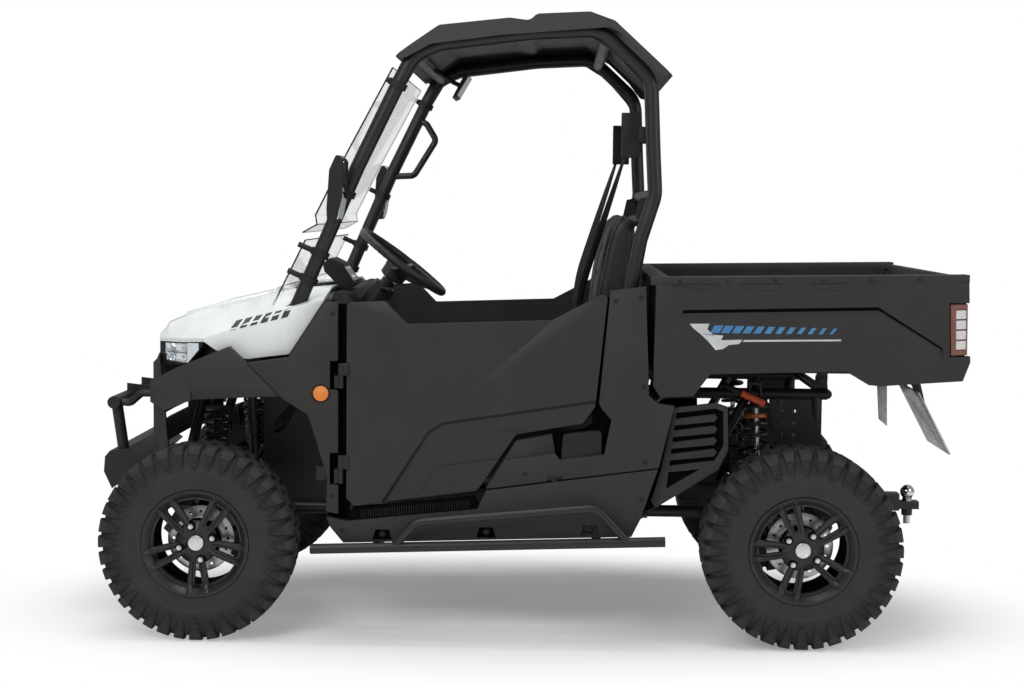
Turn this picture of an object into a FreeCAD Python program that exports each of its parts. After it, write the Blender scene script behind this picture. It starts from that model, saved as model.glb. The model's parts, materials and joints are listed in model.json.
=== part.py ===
"""Two-seat utility side-by-side with a tipping cargo bed. Lengths in millimetres.

+X points forward, +Y to the vehicle's left and +Z up. The origin lies on the ground, below the
middle of the vehicle's box. Paired pieces are made once, on the left, and mirrored across Y = 0.
"""
import FreeCAD
import Part
import math
import os

# ---------------------------------------------------------------- driving dimensions
WHEELBASE = 1925.0
FRONT_AXLE_X = 1024.0
REAR_AXLE_X = FRONT_AXLE_X - WHEELBASE
TYRE_PITCHES = 18                        # tread lugs on each shoulder
COLUMN_DEG = 360.0 / (2 * TYRE_PITCHES)  # one lug or one gap

# radius, width and middle plane of each tyre, the rim's bead seat and half width, and how far its
# first spoke and first nut are turned round
TYRES = {
    "front": dict(radius=316.0, width=200.0, mid_y=646.0, seat=152.0, bead=84.0, axle_x=FRONT_AXLE_X,
                  spoke_turn=39.0, nut_turn=73.5),
    "rear": dict(radius=320.0, width=250.0, mid_y=625.0, seat=152.0, bead=104.0, axle_x=REAR_AXLE_X,
                 spoke_turn=19.0, nut_turn=34.0),
}
for tyre in TYRES.values():
    tyre["axle_z"] = tyre["radius"] * math.cos(math.radians(COLUMN_DEG / 2))

KINGPIN_Y = 600.0
STEER_ARM = 62.0                         # kingpin to tie rod, towards the rear
RACK_Z = 402.0
RAIL_Z = 366.0                           # centre of the frame's main rails
JOINT_RISE = 102.0                       # axle to each ball joint

BODY_Y = 700.0                           # outer face of doors and side panels
PANEL_T = 30.0                           # thickness of doors and side panels
DOOR_HINGE = (565.0, 706.0)              # X and Y of the vertical hinge line
DOOR_HINGE_SPANS = ((511.0, 600.0), (814.0, 893.0))

CAGE_Y = 600.0
CAGE_R = 23.5
ROOF_Y = 648.0

BED_PIVOT = (-1000.0, 825.0)             # X and Z
BED_OUT_Y = 690.0
BED_IN_Y = 615.0
BED_FLOOR_Z = 892.0
TAILGATE_HINGE = (-1392.0, 898.0)        # X and Z

HOOD_HINGE = (836.0, 1103.0)             # X and Z
COLUMN_TOP = (402.0, 330.0, 1203.0)      # middle of the steering wheel
COLUMN_TILT = 53.0                       # column above the horizontal, degrees

SIDES = (("left", 1.0), ("right", -1.0))


# ---------------------------------------------------------------- small tools
def vec(p):
    return FreeCAD.Vector(*p)


def bent_wire(points, radius, closed=False):
    """Straight runs joined by tangent arcs, at the corners of a list of 3-D points."""
    corners = [vec(p) for p in points]
    count = len(corners)
    ends = []
    for i, corner in enumerate(corners):
        if not closed and i in (0, count - 1):
            ends.append((corner, None, corner))
            continue
        back = corners[i - 1] - corner
        ahead = corners[(i + 1) % count] - corner
        half = back.getAngle(ahead) / 2
        reach = min(radius / math.tan(half), 0.45 * back.Length, 0.45 * ahead.Length)
        if math.degrees(half) > 89.5 or reach < 0.3:
            ends.append((corner, None, corner))
            continue
        back.normalize()
        ahead.normalize()
        middle = (back + ahead).normalize() * (reach / math.cos(half) - reach * math.tan(half))
        ends.append((corner + back * reach, corner + middle, corner + ahead * reach))
    edges = []
    for i in range(count):
        start, middle, stop = ends[i]
        if middle is not None:
            edges.append(Part.Arc(start, middle, stop).toShape())
        if i < count - 1 or closed:
            edges.append(Part.LineSegment(stop, ends[(i + 1) % count][0]).toShape())
    return Part.Wire(edges)


def place(a, b, axis, along):
    return {"x": (along, a, b), "y": (a, along, b), "z": (a, b, along)}[axis]


def prism(points, axis, low, high, radius=0.0):
    """Solid with a closed outline across one axis, from low to high along it."""
    spots = [place(a, b, axis, low) for a, b in points]
    if radius:
        wire = bent_wire(spots, radius, closed=True)
    else:
        wire = Part.makePolygon([vec(p) for p in spots + spots[:1]])
    return Part.Face(wire).extrude(vec(place(0, 0, axis, high - low)))


def box(x0, x1, y0, y1, z0, z1):
    return Part.makeBox(x1 - x0, y1 - y0, z1 - z0, vec((x0, y0, z0)))


def rod(start, stop, radius):
    run = vec(stop) - vec(start)
    return Part.makeCylinder(radius, run.Length, vec(start), run)


def tube(points, radius, bend):
    """Round bar along a bent centre line."""
    path = bent_wire(points, bend)
    start = vec(points[0])
    ring = Part.Wire(Part.makeCircle(radius, start, vec(points[1]) - start))
    return path.makePipeShell([ring], True, False)


def loft(sections):
    """Solid with flat or ruled sides through closed sections of equal point counts."""
    wires = [Part.makePolygon([vec(p) for p in points + points[:1]]) for points in sections]
    return Part.makeLoft(wires, True, True)


def turned(points, centre):
    """Solid of revolution about a line along Y: points are (radius, along)."""
    wire = Part.makePolygon([vec((r, a, 0)) for r, a in points + points[:1]])
    solid = Part.Face(wire).revolve(vec((0, 0, 0)), vec((0, 1, 0)), 360)
    solid.translate(vec(centre))
    return solid


def mirrored(shape):
    return shape.mirror(vec((0, 0, 0)), vec((0, 1, 0)))


def pair(shape):
    return [shape, mirrored(shape)]


def fused(shapes):
    whole = shapes[0].multiFuse(shapes[1:]) if len(shapes) > 1 else shapes[0]
    return whole.removeSplitter()


def side_of(shape, sign):
    return shape if sign > 0 else mirrored(shape)


def save(node, shapes):
    """Writes one node; shapes that touch have been fused before."""
    solids = [solid for shape in shapes for solid in shape.Solids]
    for solid in solids:
        if not solid.isValid():
            print("not valid:", node)
    Part.makeCompound(solids).exportStep("parts/%s.step" % node)


# ---------------------------------------------------------------- tyres and rims
def tyre_profile(tyre, lugs):
    """Half sections of the tyre: a list of zones, each a chain of (along, radius) points.

    A zone has one chain at carcass height and one at lug height, with the same two ends.
    """
    radius, half = tyre["radius"], tyre["width"] / 2
    seat, bead = tyre["seat"] + 1.2, tyre["bead"] - 4.0
    wide, crown = half - 3.0, radius - 11.5
    shoulder_low = [(-wide, 238.0), (-half + 11.0, radius - 32.0), (-0.36 * half, crown - 1.5)]
    shoulder_high = [(-wide, 238.0), (-half, 266.0), (-half + 7.0, radius - 11.0),
                     (-0.44 * half, radius - 1.5), (-0.36 * half, crown - 1.5)]
    centre_low = [(-0.2 * half, crown), (0.2 * half, crown)]
    centre_high = [(-0.2 * half, crown), (-0.17 * half, radius), (0.17 * half, radius), (0.2 * half, crown)]
    flank = [(-bead, seat), (-bead - 9.0, seat + 21.0)]

    def flipped(chain):
        return [(-a, r) for a, r in reversed(chain)]

    zones = [flank, shoulder_high if "L" in lugs else shoulder_low,
             centre_high if "C" in lugs else centre_low,
             flipped(shoulder_high if "R" in lugs else shoulder_low), flipped(flank)]
    return zones


def tyre_solid(tyre):
    """Tyre with staggered shoulder lugs: flat-faced columns round the axle."""
    patterns = ("LC", "R")

    def spot(point, angle):
        along, r = point
        turn = math.radians(angle)
        return vec((r * math.sin(turn), along, -r * math.cos(turn)))

    faces = []
    count = 2 * TYRE_PITCHES
    for column in range(count):
        here, before = patterns[column % 2], patterns[column % 2 - 1]
        start = (column - 0.5) * COLUMN_DEG
        stop = start + COLUMN_DEG
        ring = [p for zone in tyre_profile(tyre, here) for p in zone]
        for a, b in zip(ring, ring[1:] + ring[:1]):
            quad = [spot(a, start), spot(a, stop), spot(b, stop), spot(b, start)]
            faces.append(Part.Face(Part.makePolygon(quad + quad[:1])))
        for zone, old in zip(tyre_profile(tyre, here), tyre_profile(tyre, before)):
            if zone != old:
                loop = [spot(p, start) for p in zone + old[-2:0:-1]]
                faces.append(Part.Face(Part.makePolygon(loop + loop[:1])))
    shell = Part.makeShell(faces)
    shell.sewShape()
    solid = Part.makeSolid(shell)
    if solid.Volume < 0:
        solid.reverse()
    return solid


def rim_solid(tyre):
    """Alloy wheel seen from outside (+Y): barrel, five double spokes, hub and nuts."""
    seat, bead = tyre["seat"], tyre["bead"]
    face = bead - 14.0
    barrel = turned([(seat - 6, -bead - 9), (seat + 19, -bead - 11), (seat + 19, -bead - 6), (seat, -bead + 4),
                     (seat, bead - 4), (seat + 19, bead + 6), (seat + 19, bead + 11), (seat + 11, bead + 11),
                     (seat - 6, bead - 8)], (0, 0, 0))
    hub = turned([(0, bead - 74), (70, bead - 74), (70, face - 16), (42, face), (26, face), (26, face + 6),
                  (0, face + 8)], (0, 0, 0))
    parts = [barrel, hub]
    edge = [(20, 40), (27, 100), (30, 128), (42, seat - 6)]
    slot_edge = [(6, 64), (13, 100), (14, 128), (10, seat - 14)]
    for k in range(5):
        spoke = prism([(-x, z) for x, z in edge] + edge[::-1], "y", face - 24, face)
        slot = prism([(-x, z) for x, z in slot_edge] + slot_edge[::-1], "y", face - 30, face + 5, 5)
        spoke = spoke.cut(slot)
        spoke.rotate(vec((0, 0, 0)), vec((0, 1, 0)), 72.0 * k + tyre["spoke_turn"])
        parts.append(spoke)
    for k in range(4):
        turn = math.radians(90 * k + tyre["nut_turn"])
        spot = (55 * math.cos(turn), 55 * math.sin(turn))
        parts.append(rod((spot[0], face - 14, spot[1]), (spot[0], face + 6, spot[1]), 9))
    return fused(parts)


def brake_disc(tyre):
    """Disc with its bell, bolted to the wheel's inner side."""
    face = tyre["bead"] - 74.0
    disc = turned([(45, face), (70, face), (70, face - 20), (107, face - 20), (107, face - 25), (45, face - 25)],
                  (0, 0, 0))
    for k in range(16):
        turn = math.radians(22.5 * k)
        spot = (88 * math.cos(turn), 88 * math.sin(turn))
        disc = disc.cut(rod((spot[0], face - 26, spot[1]), (spot[0], face - 19, spot[1]), 5))
    return disc


def make_wheels():
    for end, tyre in TYRES.items():
        rubber, rim, disc = tyre_solid(tyre), rim_solid(tyre), brake_disc(tyre)
        for side, sign in SIDES:
            for node, shapes in (("tyre", [rubber]), ("rim", [rim, disc])):
                put = []
                for shape in shapes:
                    copy = side_of(shape.copy(), sign)
                    copy.translate(vec((tyre["axle_x"], sign * tyre["mid_y"], tyre["axle_z"])))
                    put.append(copy)
                save("%s_%s_%s" % (node, end, side), put)


# ---------------------------------------------------------------- suspension and drive
def knuckle():
    """Left front upright with its spindle, steering arm, caliper and joint bell."""
    tyre = TYRES["front"]
    x, y, z = tyre["axle_x"], KINGPIN_Y, tyre["axle_z"]
    disc_y = tyre["mid_y"] + tyre["bead"] - 74.0
    tall = JOINT_RISE - 30.0
    post = prism([(x - 18, z - tall), (x + 18, z - tall), (x + 40, z - 30), (x + 40, z + 30), (x + 18, z + tall),
                  (x - 18, z + tall), (x - 40, z + 30), (x - 40, z - 30)], "y", y - 14, y + 14)
    bell = rod((x, y - 22, z), (x, y + 34, z), 40)
    spindle = rod((x, y + 28, z), (x, disc_y - 1, z), 34)
    arm = prism([(x - 30, y - 12), (x - STEER_ARM - 14, y - 12), (x - STEER_ARM - 14, y + 12),
                 (x - 30, y + 12)], "z", RACK_Z - 40, RACK_Z - 24)
    arm_root = box(x - 44, x - 18, y - 12, y + 12, z + 20, RACK_Z - 24)
    caliper = prism([(x + 60, z + 60), (x + 102, z + 20), (x + 118, z + 34), (x + 76, z + 96), (x + 56, z + 88)],
                    "y", disc_y - 44, disc_y - 2)
    slot = turned([(60, disc_y - 28), (112, disc_y - 28), (112, disc_y - 17), (60, disc_y - 17)], (x, 0, z))
    carrier = prism([(x + 20, z + 30), (x + 20, z + 60), (x + 70, z + 76), (x + 90, z + 44)],
                    "y", y - 12, disc_y - 30)
    bore = rod((x, y - 25, z), (x, y + 31, z), 31)
    upright = fused([post, bell, spindle, arm, arm_root, caliper.cut(slot), carrier]).cut(bore)
    for sign in (1, -1):
        upright = upright.cut(rod((x, y, z + sign * (tall - 16)), (x, y, z + sign * (tall + 1)), 8))
    return upright


def make_knuckles():
    left = knuckle()
    for side, sign in SIDES:
        save("knuckle_front_" + side, [side_of(left.copy(), sign)])


def wishbone(outer, stud, inner_y, inner_z, spread, radius=12.0):
    """Two-legged arm from a ball joint to two bushes on the frame; outer is (x, y, z).

    The joint's stud points up or down by the given height, into the upright.
    """
    x, y, z = outer
    legs = [tube([(x, y, z), (x + sign * 15, y - 64, z + (inner_z - z) * 0.2),
                  (x + sign * spread, inner_y, inner_z)], radius, 40) for sign in (1, -1)]
    ball = Part.makeSphere(18, vec(outer))
    pin = rod(outer, (x, y, z + stud), 6.5)
    bushes = [rod((x + sign * spread - 20, inner_y, inner_z), (x + sign * spread + 20, inner_y, inner_z), 16)
              for sign in (1, -1)]
    return fused([ball, pin] + legs + bushes)


def bush_ears(x, y, z, rail_y, spread, half=20.0):
    """Frame ears on both sides of a wishbone's bushes."""
    ears = []
    for sign in (1, -1):
        for end in (1, -1):
            at = x + sign * spread + end * (half + 3.9)
            ears.append(box(at - 3.5, at + 3.5, rail_y, y + 8, z - 16, z + 16))
    return ears


LOWER_BUSH = dict(y=322.0, z=RAIL_Z - 8.0)
UPPER_BUSH = dict(y=338.0, z=476.0)


def make_front_suspension():
    tyre = TYRES["front"]
    x, z = tyre["axle_x"], tyre["axle_z"]
    lower = wishbone((x, KINGPIN_Y, z - JOINT_RISE), 44, LOWER_BUSH["y"], LOWER_BUSH["z"], 118)
    upper = wishbone((x, KINGPIN_Y, z + JOINT_RISE), -44, UPPER_BUSH["y"], UPPER_BUSH["z"], 90)
    foot = SHOCKS["front"]["foot"]
    bolt = rod((x - 58, foot[1], foot[2]), (x + 58, foot[1], foot[2]), 9.8)
    save("front_arms", pair(lower) + pair(fused([upper, bolt])))


def make_rear_suspension():
    """Rear uprights with their lower and upper arms."""
    tyre = TYRES["rear"]
    x, z = tyre["axle_x"], tyre["axle_z"]
    hub_y = tyre["mid_y"] + tyre["bead"] - 74.0
    foot = SHOCKS["rear"]["foot"]
    upright = fused([prism([(x - 20, z - 90), (x + 20, z - 90), (x + 46, z), (x + 20, z + 90), (x - 20, z + 90),
                            (x - 46, z)], "y", 578, 606),
                     rod((x, 560, z), (x, hub_y - 1, z), 34),
                     wishbone((x, 590, z - 98), 20, LOWER_BUSH["y"], LOWER_BUSH["z"], 112, 14),
                     wishbone((x, 590, z + 98), -20, UPPER_BUSH["y"], UPPER_BUSH["z"], 62),
                     rod((x + 44, foot[1], foot[2]), (foot[0] + 26, foot[1], foot[2]), 9.8)])
    bore = rod((x, 550, z), (x, 596, z), 33)
    save("rear_suspension", pair(upright.cut(bore)))


SHOCKS = {
    "front": dict(foot=(FRONT_AXLE_X, 470.0, 446.0), head=(FRONT_AXLE_X - 6, 352.0, 745.0)),
    "rear": dict(foot=(REAR_AXLE_X + 105, 445.0, 308.0), head=(REAR_AXLE_X + 127, 400.0, 782.0)),
}
SPRING_R = 44.0
SPRING_WIRE = 6.5


def shock(foot, head):
    """Damper with a coil spring between two eyes."""
    low, high = vec(foot), vec(head)
    run = high - low
    length = run.Length
    along = FreeCAD.Vector(run)
    along.normalize()

    def at(distance):
        return low + along * distance

    pieces = [rod(at(4), at(length * 0.55), 17), rod(at(length * 0.5), at(length - 4), 9),
              rod(at(50), at(60), SPRING_R), rod(at(length - 46), at(length - 36), SPRING_R),
              rod(at(55), at(length - 40), SPRING_R - 2 * SPRING_WIRE)]
    for centre in (low, high):
        pieces.append(rod(centre - vec((14, 0, 0)), centre + vec((14, 0, 0)), 17))
    coils = 8
    pitch = (length - 106) / coils
    section = [(SPRING_R - 2 * SPRING_WIRE - 1, -4.0), (SPRING_R - 4, -SPRING_WIRE), (SPRING_R, -2.5),
               (SPRING_R, 2.5), (SPRING_R - 4, SPRING_WIRE), (SPRING_R - 2 * SPRING_WIRE - 1, 4.0)]
    for k in range(coils):
        ring = turned(section, (0, 0, 0))
        ring.Placement = FreeCAD.Placement(at(60 + pitch * (k + 0.5)), FreeCAD.Rotation(vec((0, 1, 0)), along))
        pieces.append(ring)
    whole = fused(pieces)
    for centre in (low, high):
        whole = whole.cut(rod(centre - vec((22, 0, 0)), centre + vec((22, 0, 0)), 10.6))
    return whole


def make_shocks():
    shapes = []
    for mount in SHOCKS.values():
        shapes += pair(shock(mount["foot"], mount["head"]))
    save("shock_absorbers", shapes)


def make_drive_units():
    """Front final drive and rear motor with its gearbox, each with two half shafts."""
    front, rear = TYRES["front"], TYRES["rear"]
    fx, fz, rx, rz = front["axle_x"], front["axle_z"], rear["axle_x"], rear["axle_z"]
    front_unit = fused([prism([(fx - 90, fz - 40), (fx - 60, fz - 52), (fx + 50, fz - 52), (fx + 90, fz - 20),
                               (fx + 70, fz + 50), (fx - 70, fz + 60)], "y", -95, 95, 15),
                        rod((fx, -KINGPIN_Y, fz), (fx, KINGPIN_Y, fz), 11),
                        Part.makeSphere(28, vec((fx, KINGPIN_Y, fz))),
                        Part.makeSphere(28, vec((fx, -KINGPIN_Y, fz))),
                        rod((fx, -150, fz), (fx, 150, fz), 28)])
    rear_unit = fused([prism([(rx - 80, rz - 50), (rx + 120, rz - 50), (rx + 150, rz + 60), (rx + 120, rz + 170),
                              (rx - 40, rz + 170), (rx - 90, rz + 60)], "y", -150, 150, 20),
                       rod((rx, -595, rz), (rx, 595, rz), 12), rod((rx, -190, rz), (rx, 190, rz), 26),
                       rod((rx, 530, rz), (rx, 594, rz), 32), rod((rx, -594, rz), (rx, -530, rz), 32)])
    save("drive_units", [front_unit, rear_unit])


def make_steering():
    """Rack with its tie rods, and the column with the pedals' bracket."""
    rack_x = FRONT_AXLE_X - STEER_ARM
    reach = KINGPIN_Y
    rods = fused([rod((rack_x, -reach, RACK_Z), (rack_x, reach, RACK_Z), 8),
                  rod((rack_x, reach, RACK_Z - 16), (rack_x, reach, RACK_Z + 10), 12),
                  rod((rack_x, -reach, RACK_Z - 16), (rack_x, -reach, RACK_Z + 10), 12)])
    save("steering_rack", [rods])


# ---------------------------------------------------------------- steering wheel and column
def column_axis():
    tilt = math.radians(COLUMN_TILT)
    return vec((-math.cos(tilt), 0, math.sin(tilt)))


def make_steering_wheel():
    axis = column_axis()
    centre = vec(COLUMN_TOP)
    ring = Part.makeTorus(164, 14.5, centre, axis)
    across = vec((0, 1, 0))
    up = axis.cross(across)
    hub_top, hub_low = centre - axis * 18, centre - axis * 70
    parts = [ring, rod(hub_low, hub_top, 42)]
    for sideways, upwards in ((1.0, 0.15), (-1.0, 0.15), (0.0, 1.0)):
        aim = (across * sideways + up * upwards).normalize()
        parts.append(rod(hub_top - axis * 12 + aim * 30, centre + aim * 158, 11))
    save("steering_wheel", [fused(parts)])


def column_solid(extra=0.0):
    """Column from below the wheel to the steering gear, thicker by extra for the holes round it."""
    axis = column_axis()
    centre = vec(COLUMN_TOP)
    low = centre - axis * 560
    gear = vec((FRONT_AXLE_X - STEER_ARM - 6, 160.0, RACK_Z + 60))
    return fused([rod(centre - axis * 76, centre - axis * 330, 24 + extra),
                  rod(centre - axis * 300, low, 14 + extra), rod(centre - axis * 185, centre - axis * 96, 38 + extra),
                  tube([low + axis * 5, low, gear], 11 + extra, 30)])


def make_steering_column():
    """Column with the steering gear's case, and two pedals on the firewall."""
    rack_x = FRONT_AXLE_X - STEER_ARM
    case = box(rack_x - 35, rack_x + 35, 100, 220, RACK_Z + 14, RACK_Z + 66)
    pads = []
    for y in (190, 300):
        pads.append(fused([tube([(627.8, y, 800), (596, y, 780), (584, y, 560), (560, y, 530)], 9, 30),
                           box(548, 572, y - 32, y + 32, 515, 545)]))
    save("steering_column", [fused([column_solid(), case])] + pads)


# ---------------------------------------------------------------- frame
BAR_STAY_X = 1269.9                      # where the stays meet the bull bar
# each run: radius, bend and centre line on the left side
FRAME_RUNS = {
    "rail": (20, 80, [(1255, 250, 430), (1120, 262, RAIL_Z), (620, 280, RAIL_Z), (-1040, 280, RAIL_Z)]),
    "sill": (19, 60, [(640, 280, RAIL_Z), (560, 560, 372), (-340, 560, 372), (-420, 280, RAIL_Z)]),
    "front_post": (18, 60, [(735, 600, 1041.5), (735, 600, 1000), (650, 585, 780), (600, 560, 430),
                            (570, 560, 374)]),
    "rear_post": (18, 60, [(-330, 600, 1041.5), (-330, 600, 1010), (-330, 585, 800), (-340, 560, 374)]),
    "bed_rail": (18.5, 60, [(-345, 575, 700), (-470, 350, 778), (-1020, 350, 778)]),
    "rear_upright": (17, 10, [(-985, 350, 778), (-985, 284, RAIL_Z)]),
    "tower": (17.5, 60, [(1123, 262, RAIL_Z), (1123, 300, 560), (1060, 340, 790), (735, 420, 800),
                       (664, 588, 800)]),
    "tower_rear": (15, 60, [(905, 280, RAIL_Z), (905, 372, 790)]),
    "nose_stay": (15, 60, [(1255, 250, 430), (1123, 300, 560)]),
    "bar_stay": (13, 60, [(1070, 337, 770), (1130, 300, 748), (BAR_STAY_X, 300, 748)]),
    "rear_brace": (16, 60, [(-410, 560, 420), (-640, 330, 560), (-760, 350, 778)]),
}
CROSS_MEMBERS = ((1255, 250, 430), (600, 280, RAIL_Z), (-380, 280, RAIL_Z), (-1040, 280, RAIL_Z),
                 (-1020, 350, 778), (-470, 350, 778), (850, 391, 796), (1060, 340, 790))


def frame_run(name, extra=0.0):
    radius, bend, points = FRAME_RUNS[name]
    return tube(points, radius + extra, bend)


def shock_tower(head, frame_y, frame_z):
    """Two ears and a bolt for a shock's upper eye, under a plate on the frame."""
    x, y, z = head
    ears = [box(x + sign * 18 - 3.5, x + sign * 18 + 3.5, frame_y, y + 20, z - 18, frame_z) for sign in (1, -1)]
    plate = box(x - 21.5, x + 21.5, frame_y, y + 20, frame_z - 6, frame_z)
    bolt = rod((x - 24, y, z), (x + 24, y, z), 9.8)
    return ears + [plate, bolt]


def make_main_frame():
    left = [frame_run(name) for name in FRAME_RUNS]
    left += shock_tower(SHOCKS["front"]["head"], 330, 784)
    left += shock_tower(SHOCKS["rear"]["head"], 352, 820)
    front, rear = TYRES["front"], TYRES["rear"]
    left += bush_ears(front["axle_x"], LOWER_BUSH["y"], LOWER_BUSH["z"], 258, 118)
    left += bush_ears(front["axle_x"], UPPER_BUSH["y"], UPPER_BUSH["z"], 290, 90)
    left += bush_ears(rear["axle_x"], LOWER_BUSH["y"], LOWER_BUSH["z"], 285, 112)
    left += bush_ears(rear["axle_x"], UPPER_BUSH["y"], UPPER_BUSH["z"], 290, 62)
    bush_rail = 304.0
    for tyre, reach in ((front, 114), (rear, 120)):
        left.append(rod((tyre["axle_x"] - reach, bush_rail, UPPER_BUSH["z"]),
                        (tyre["axle_x"] + reach, bush_rail, UPPER_BUSH["z"]), 13))
    for x in (-862, -985):
        left.append(rod((x, bush_rail, UPPER_BUSH["z"]), (x, 284, RAIL_Z), 13))
        left.append(rod((x, bush_rail, UPPER_BUSH["z"]), (x, 345, 778), 13))
    x, z = BED_PIVOT
    left.append(prism([(x - 24, 780), (x + 24, 780), (x + 18, z + 16), (x - 18, z + 16)], "y", 334, 346))
    left.append(rod((x, 330, z), (x, 372, z), 10))
    left.append(rod((-560, 352, 790), (-560, 352, 848.5), 16))
    for z0, z1 in DOOR_HINGE_SPANS:
        left.append(hinge_body_side(z0, z1))
    left.append(box(660, 880, 268, 272, RAIL_Z, 790).cut(column_solid(10.0)))
    guard = prism([(-822, 783), (-1003, 783), (-1003, 600), (-985, 582), (-870, 582), (-850, 620)], "y", 347.3, 351.7)
    for row in range(3):
        for column in range(2):
            spot = (-870.0 - 40 * column, 640.0 + 40 * row)
            guard = guard.cut(rod((spot[0], 340, spot[1]), (spot[0], 360, spot[1]), 7))
    left.append(guard)
    crossing = [rod((x, -y, z), (x, y, z), 16) for x, y, z in CROSS_MEMBERS]
    skid_plate = box(-430, 900, -290, 290, RAIL_Z - 24, RAIL_Z - 18)
    save("main_frame", [fused(pair(fused(left)) + crossing + [skid_plate])])


def hinge_body_side(z0, z1):
    """Body half of a door hinge: lower knuckle, pin and leaf back to the door post."""
    x, y = DOOR_HINGE
    middle = (z0 + z1) / 2
    return fused([rod((x, y, z0), (x, y, middle), 9), rod((x, y, z0), (x, y, z1), 5),
                  box(x - 2, x + 20, y - 70, y, z0, middle), box(x + 8, 650, 575, y - 64, z0, middle)])


def make_battery():
    save("battery_pack", [box(-320, 110, -300, 300, 406, 640)])


HITCH_PIN = (-1250.0, 354.0)             # X and Z of the hole for the drawbar's cross pin
HITCH_PIN_R = 8.2


def make_hitch():
    """Square receiver on a crossbar, with a drop-in drawbar and ball."""
    receiver = fused([box(-1330, -1080, -30, 30, 336, 396).cut(box(-1331, -1200, -25.5, 25.5, 341, 391)),
                      box(-1090, -1058, -290, 290, 334, 398)])
    drawbar = fused([box(-1400, -1205, -25, 25, 341.5, 368), rod((-1362, 0, 288), (-1362, 0, 390), 12),
                     rod((-1362, 0, 318), (-1362, 0, 341.5), 19), rod((-1362, 0, 368), (-1362, 0, 380), 17),
                     Part.makeSphere(25, vec((-1362, 0, 400)))])
    hitch = fused([receiver, drawbar])
    x, z = HITCH_PIN
    save("hitch", [hitch.cut(rod((x, -40, z), (x, 40, z), HITCH_PIN_R))])


# ---------------------------------------------------------------- cage, roof and windshield
CAGE_LINE = [(728, 1045), (527, 1510), (392, 1789), (350, 1868), (265, 1904), (-29, 1941), (-241, 1952),
             (-405, 1800), (-415, 1576), (-423, 1433), (-378, 1290), (-334, 1045)]


def cage_side(extra=0.0):
    return tube([(x, CAGE_Y, z) for x, z in CAGE_LINE], CAGE_R + extra, 110)


def make_roll_cage():
    side = cage_side()
    feet = [box(694, 762, 575, 617, 1041.5, 1050), box(-372, -292, 575, 625, 1041.5, 1052)]
    side = side.cut(box(-600, 900, 500, 700, 900, 1041.5))
    parts = pair(side) + [copy for foot in feet for copy in pair(foot)]
    for x, z in ((340, 1874), (-262, 1930), (-423, 1433), (-398, 1345)):
        parts.append(rod((x, -CAGE_Y, z), (x, CAGE_Y, z), CAGE_R - 4))
    parts.append(tube([(436, -CAGE_Y, 1706), (398, -592, 1712), (356, -590, 1642), (440, -590, 1506),
                       (528, -CAGE_Y, 1502)], 12, 25))
    corner = prism([(392, 1789), (353, 1862), (262, 1904), (272, 1880), (330, 1846), (372, 1776)], "y", 594, 604)
    rear_corner = prism([(-241, 1952), (-405, 1800), (-408, 1730), (-370, 1790), (-290, 1880), (-200, 1935)],
                        "y", 594, 604)
    belt_plate = prism([(-376, 1422), (-411, 1429), (-404, 1349), (-362, 1358)], "y", 560, 570)
    parts += pair(corner) + pair(rear_corner) + pair(belt_plate)
    save("roll_cage", [fused(parts)])


def make_roof():
    top = [(402, 1865), (354, 1900), (266, 1960), (44, 1984), (-20, 1976), (-41, 1997), (-209, 2005),
           (-288, 1977), (-468, 1812)]
    skirt = [(-429, 1804), (-380, 1868), (-304, 1940), (-270, 1957), (71, 1930), (290, 1901), (375, 1855)]
    sheet = prism(top + [(x - 4 if x < -300 else x, z - 9) for x, z in reversed(top)], "y", -ROOF_Y + 9,
                  ROOF_Y - 9, 30)
    side = prism(top + skirt, "y", ROOF_Y - 9, ROOF_Y, 30)
    save("roof", [fused([sheet] + pair(side))])


SHEET_T = 5.0
SHEET_Y = 585.0


def make_windshield():
    """Two clear sheets in front of the A-pillars, the upper lapping over the lower."""
    upper = [(419, 1831), (572, 1545), (665, 1359), (660, 1330), (706, 1304)]
    lower = [(697, 1280), (801, 1069)]
    sheets = [prism(line + [(x - SHEET_T, z - 2.0) for x, z in reversed(line)], "y", -SHEET_Y, SHEET_Y)
              for line in (upper, lower)]
    over_hood = fused([hood_block(1.5), mirrored(hood_block(1.5)), box(760, 900, -310, 310, 1000, 1113)])
    save("windshield", [sheets[0], sheets[1].cut(over_hood)])


def make_glass_clamps():
    """Split clamps round the A-pillars, each with a pad behind the windshield's edge."""
    low, high = vec((728, CAGE_Y, 1045)), vec((527, CAGE_Y, 1510))
    top = vec((392, CAGE_Y, 1789))
    clamps = []
    for start, stop, share in ((high, top, 0.95), (low, high, 0.83), (low, high, 0.41), (low, high, 0.23)):
        run = stop - start
        centre = start + run * share
        run.normalize()
        ahead = FreeCAD.Vector(run.z, 0, -run.x)
        ring = rod(centre - run * 11, centre + run * 11, CAGE_R + 7)
        stem = rod(centre, centre + ahead * 95, 9)
        clamps.append(fused([ring, stem]))
    tube_room = cage_side(0.3)
    room = prism([(419, 1831), (572, 1545), (665, 1359), (706, 1304), (801, 1069), (1000, 1069), (1000, 1900)],
                 "y", -700, 700)
    room.translate(vec((-SHEET_T - 1.5, 0, -1)))
    save("glass_clamps", [copy for clamp in clamps for copy in pair(clamp.cut(tube_room).cut(room))])


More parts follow.
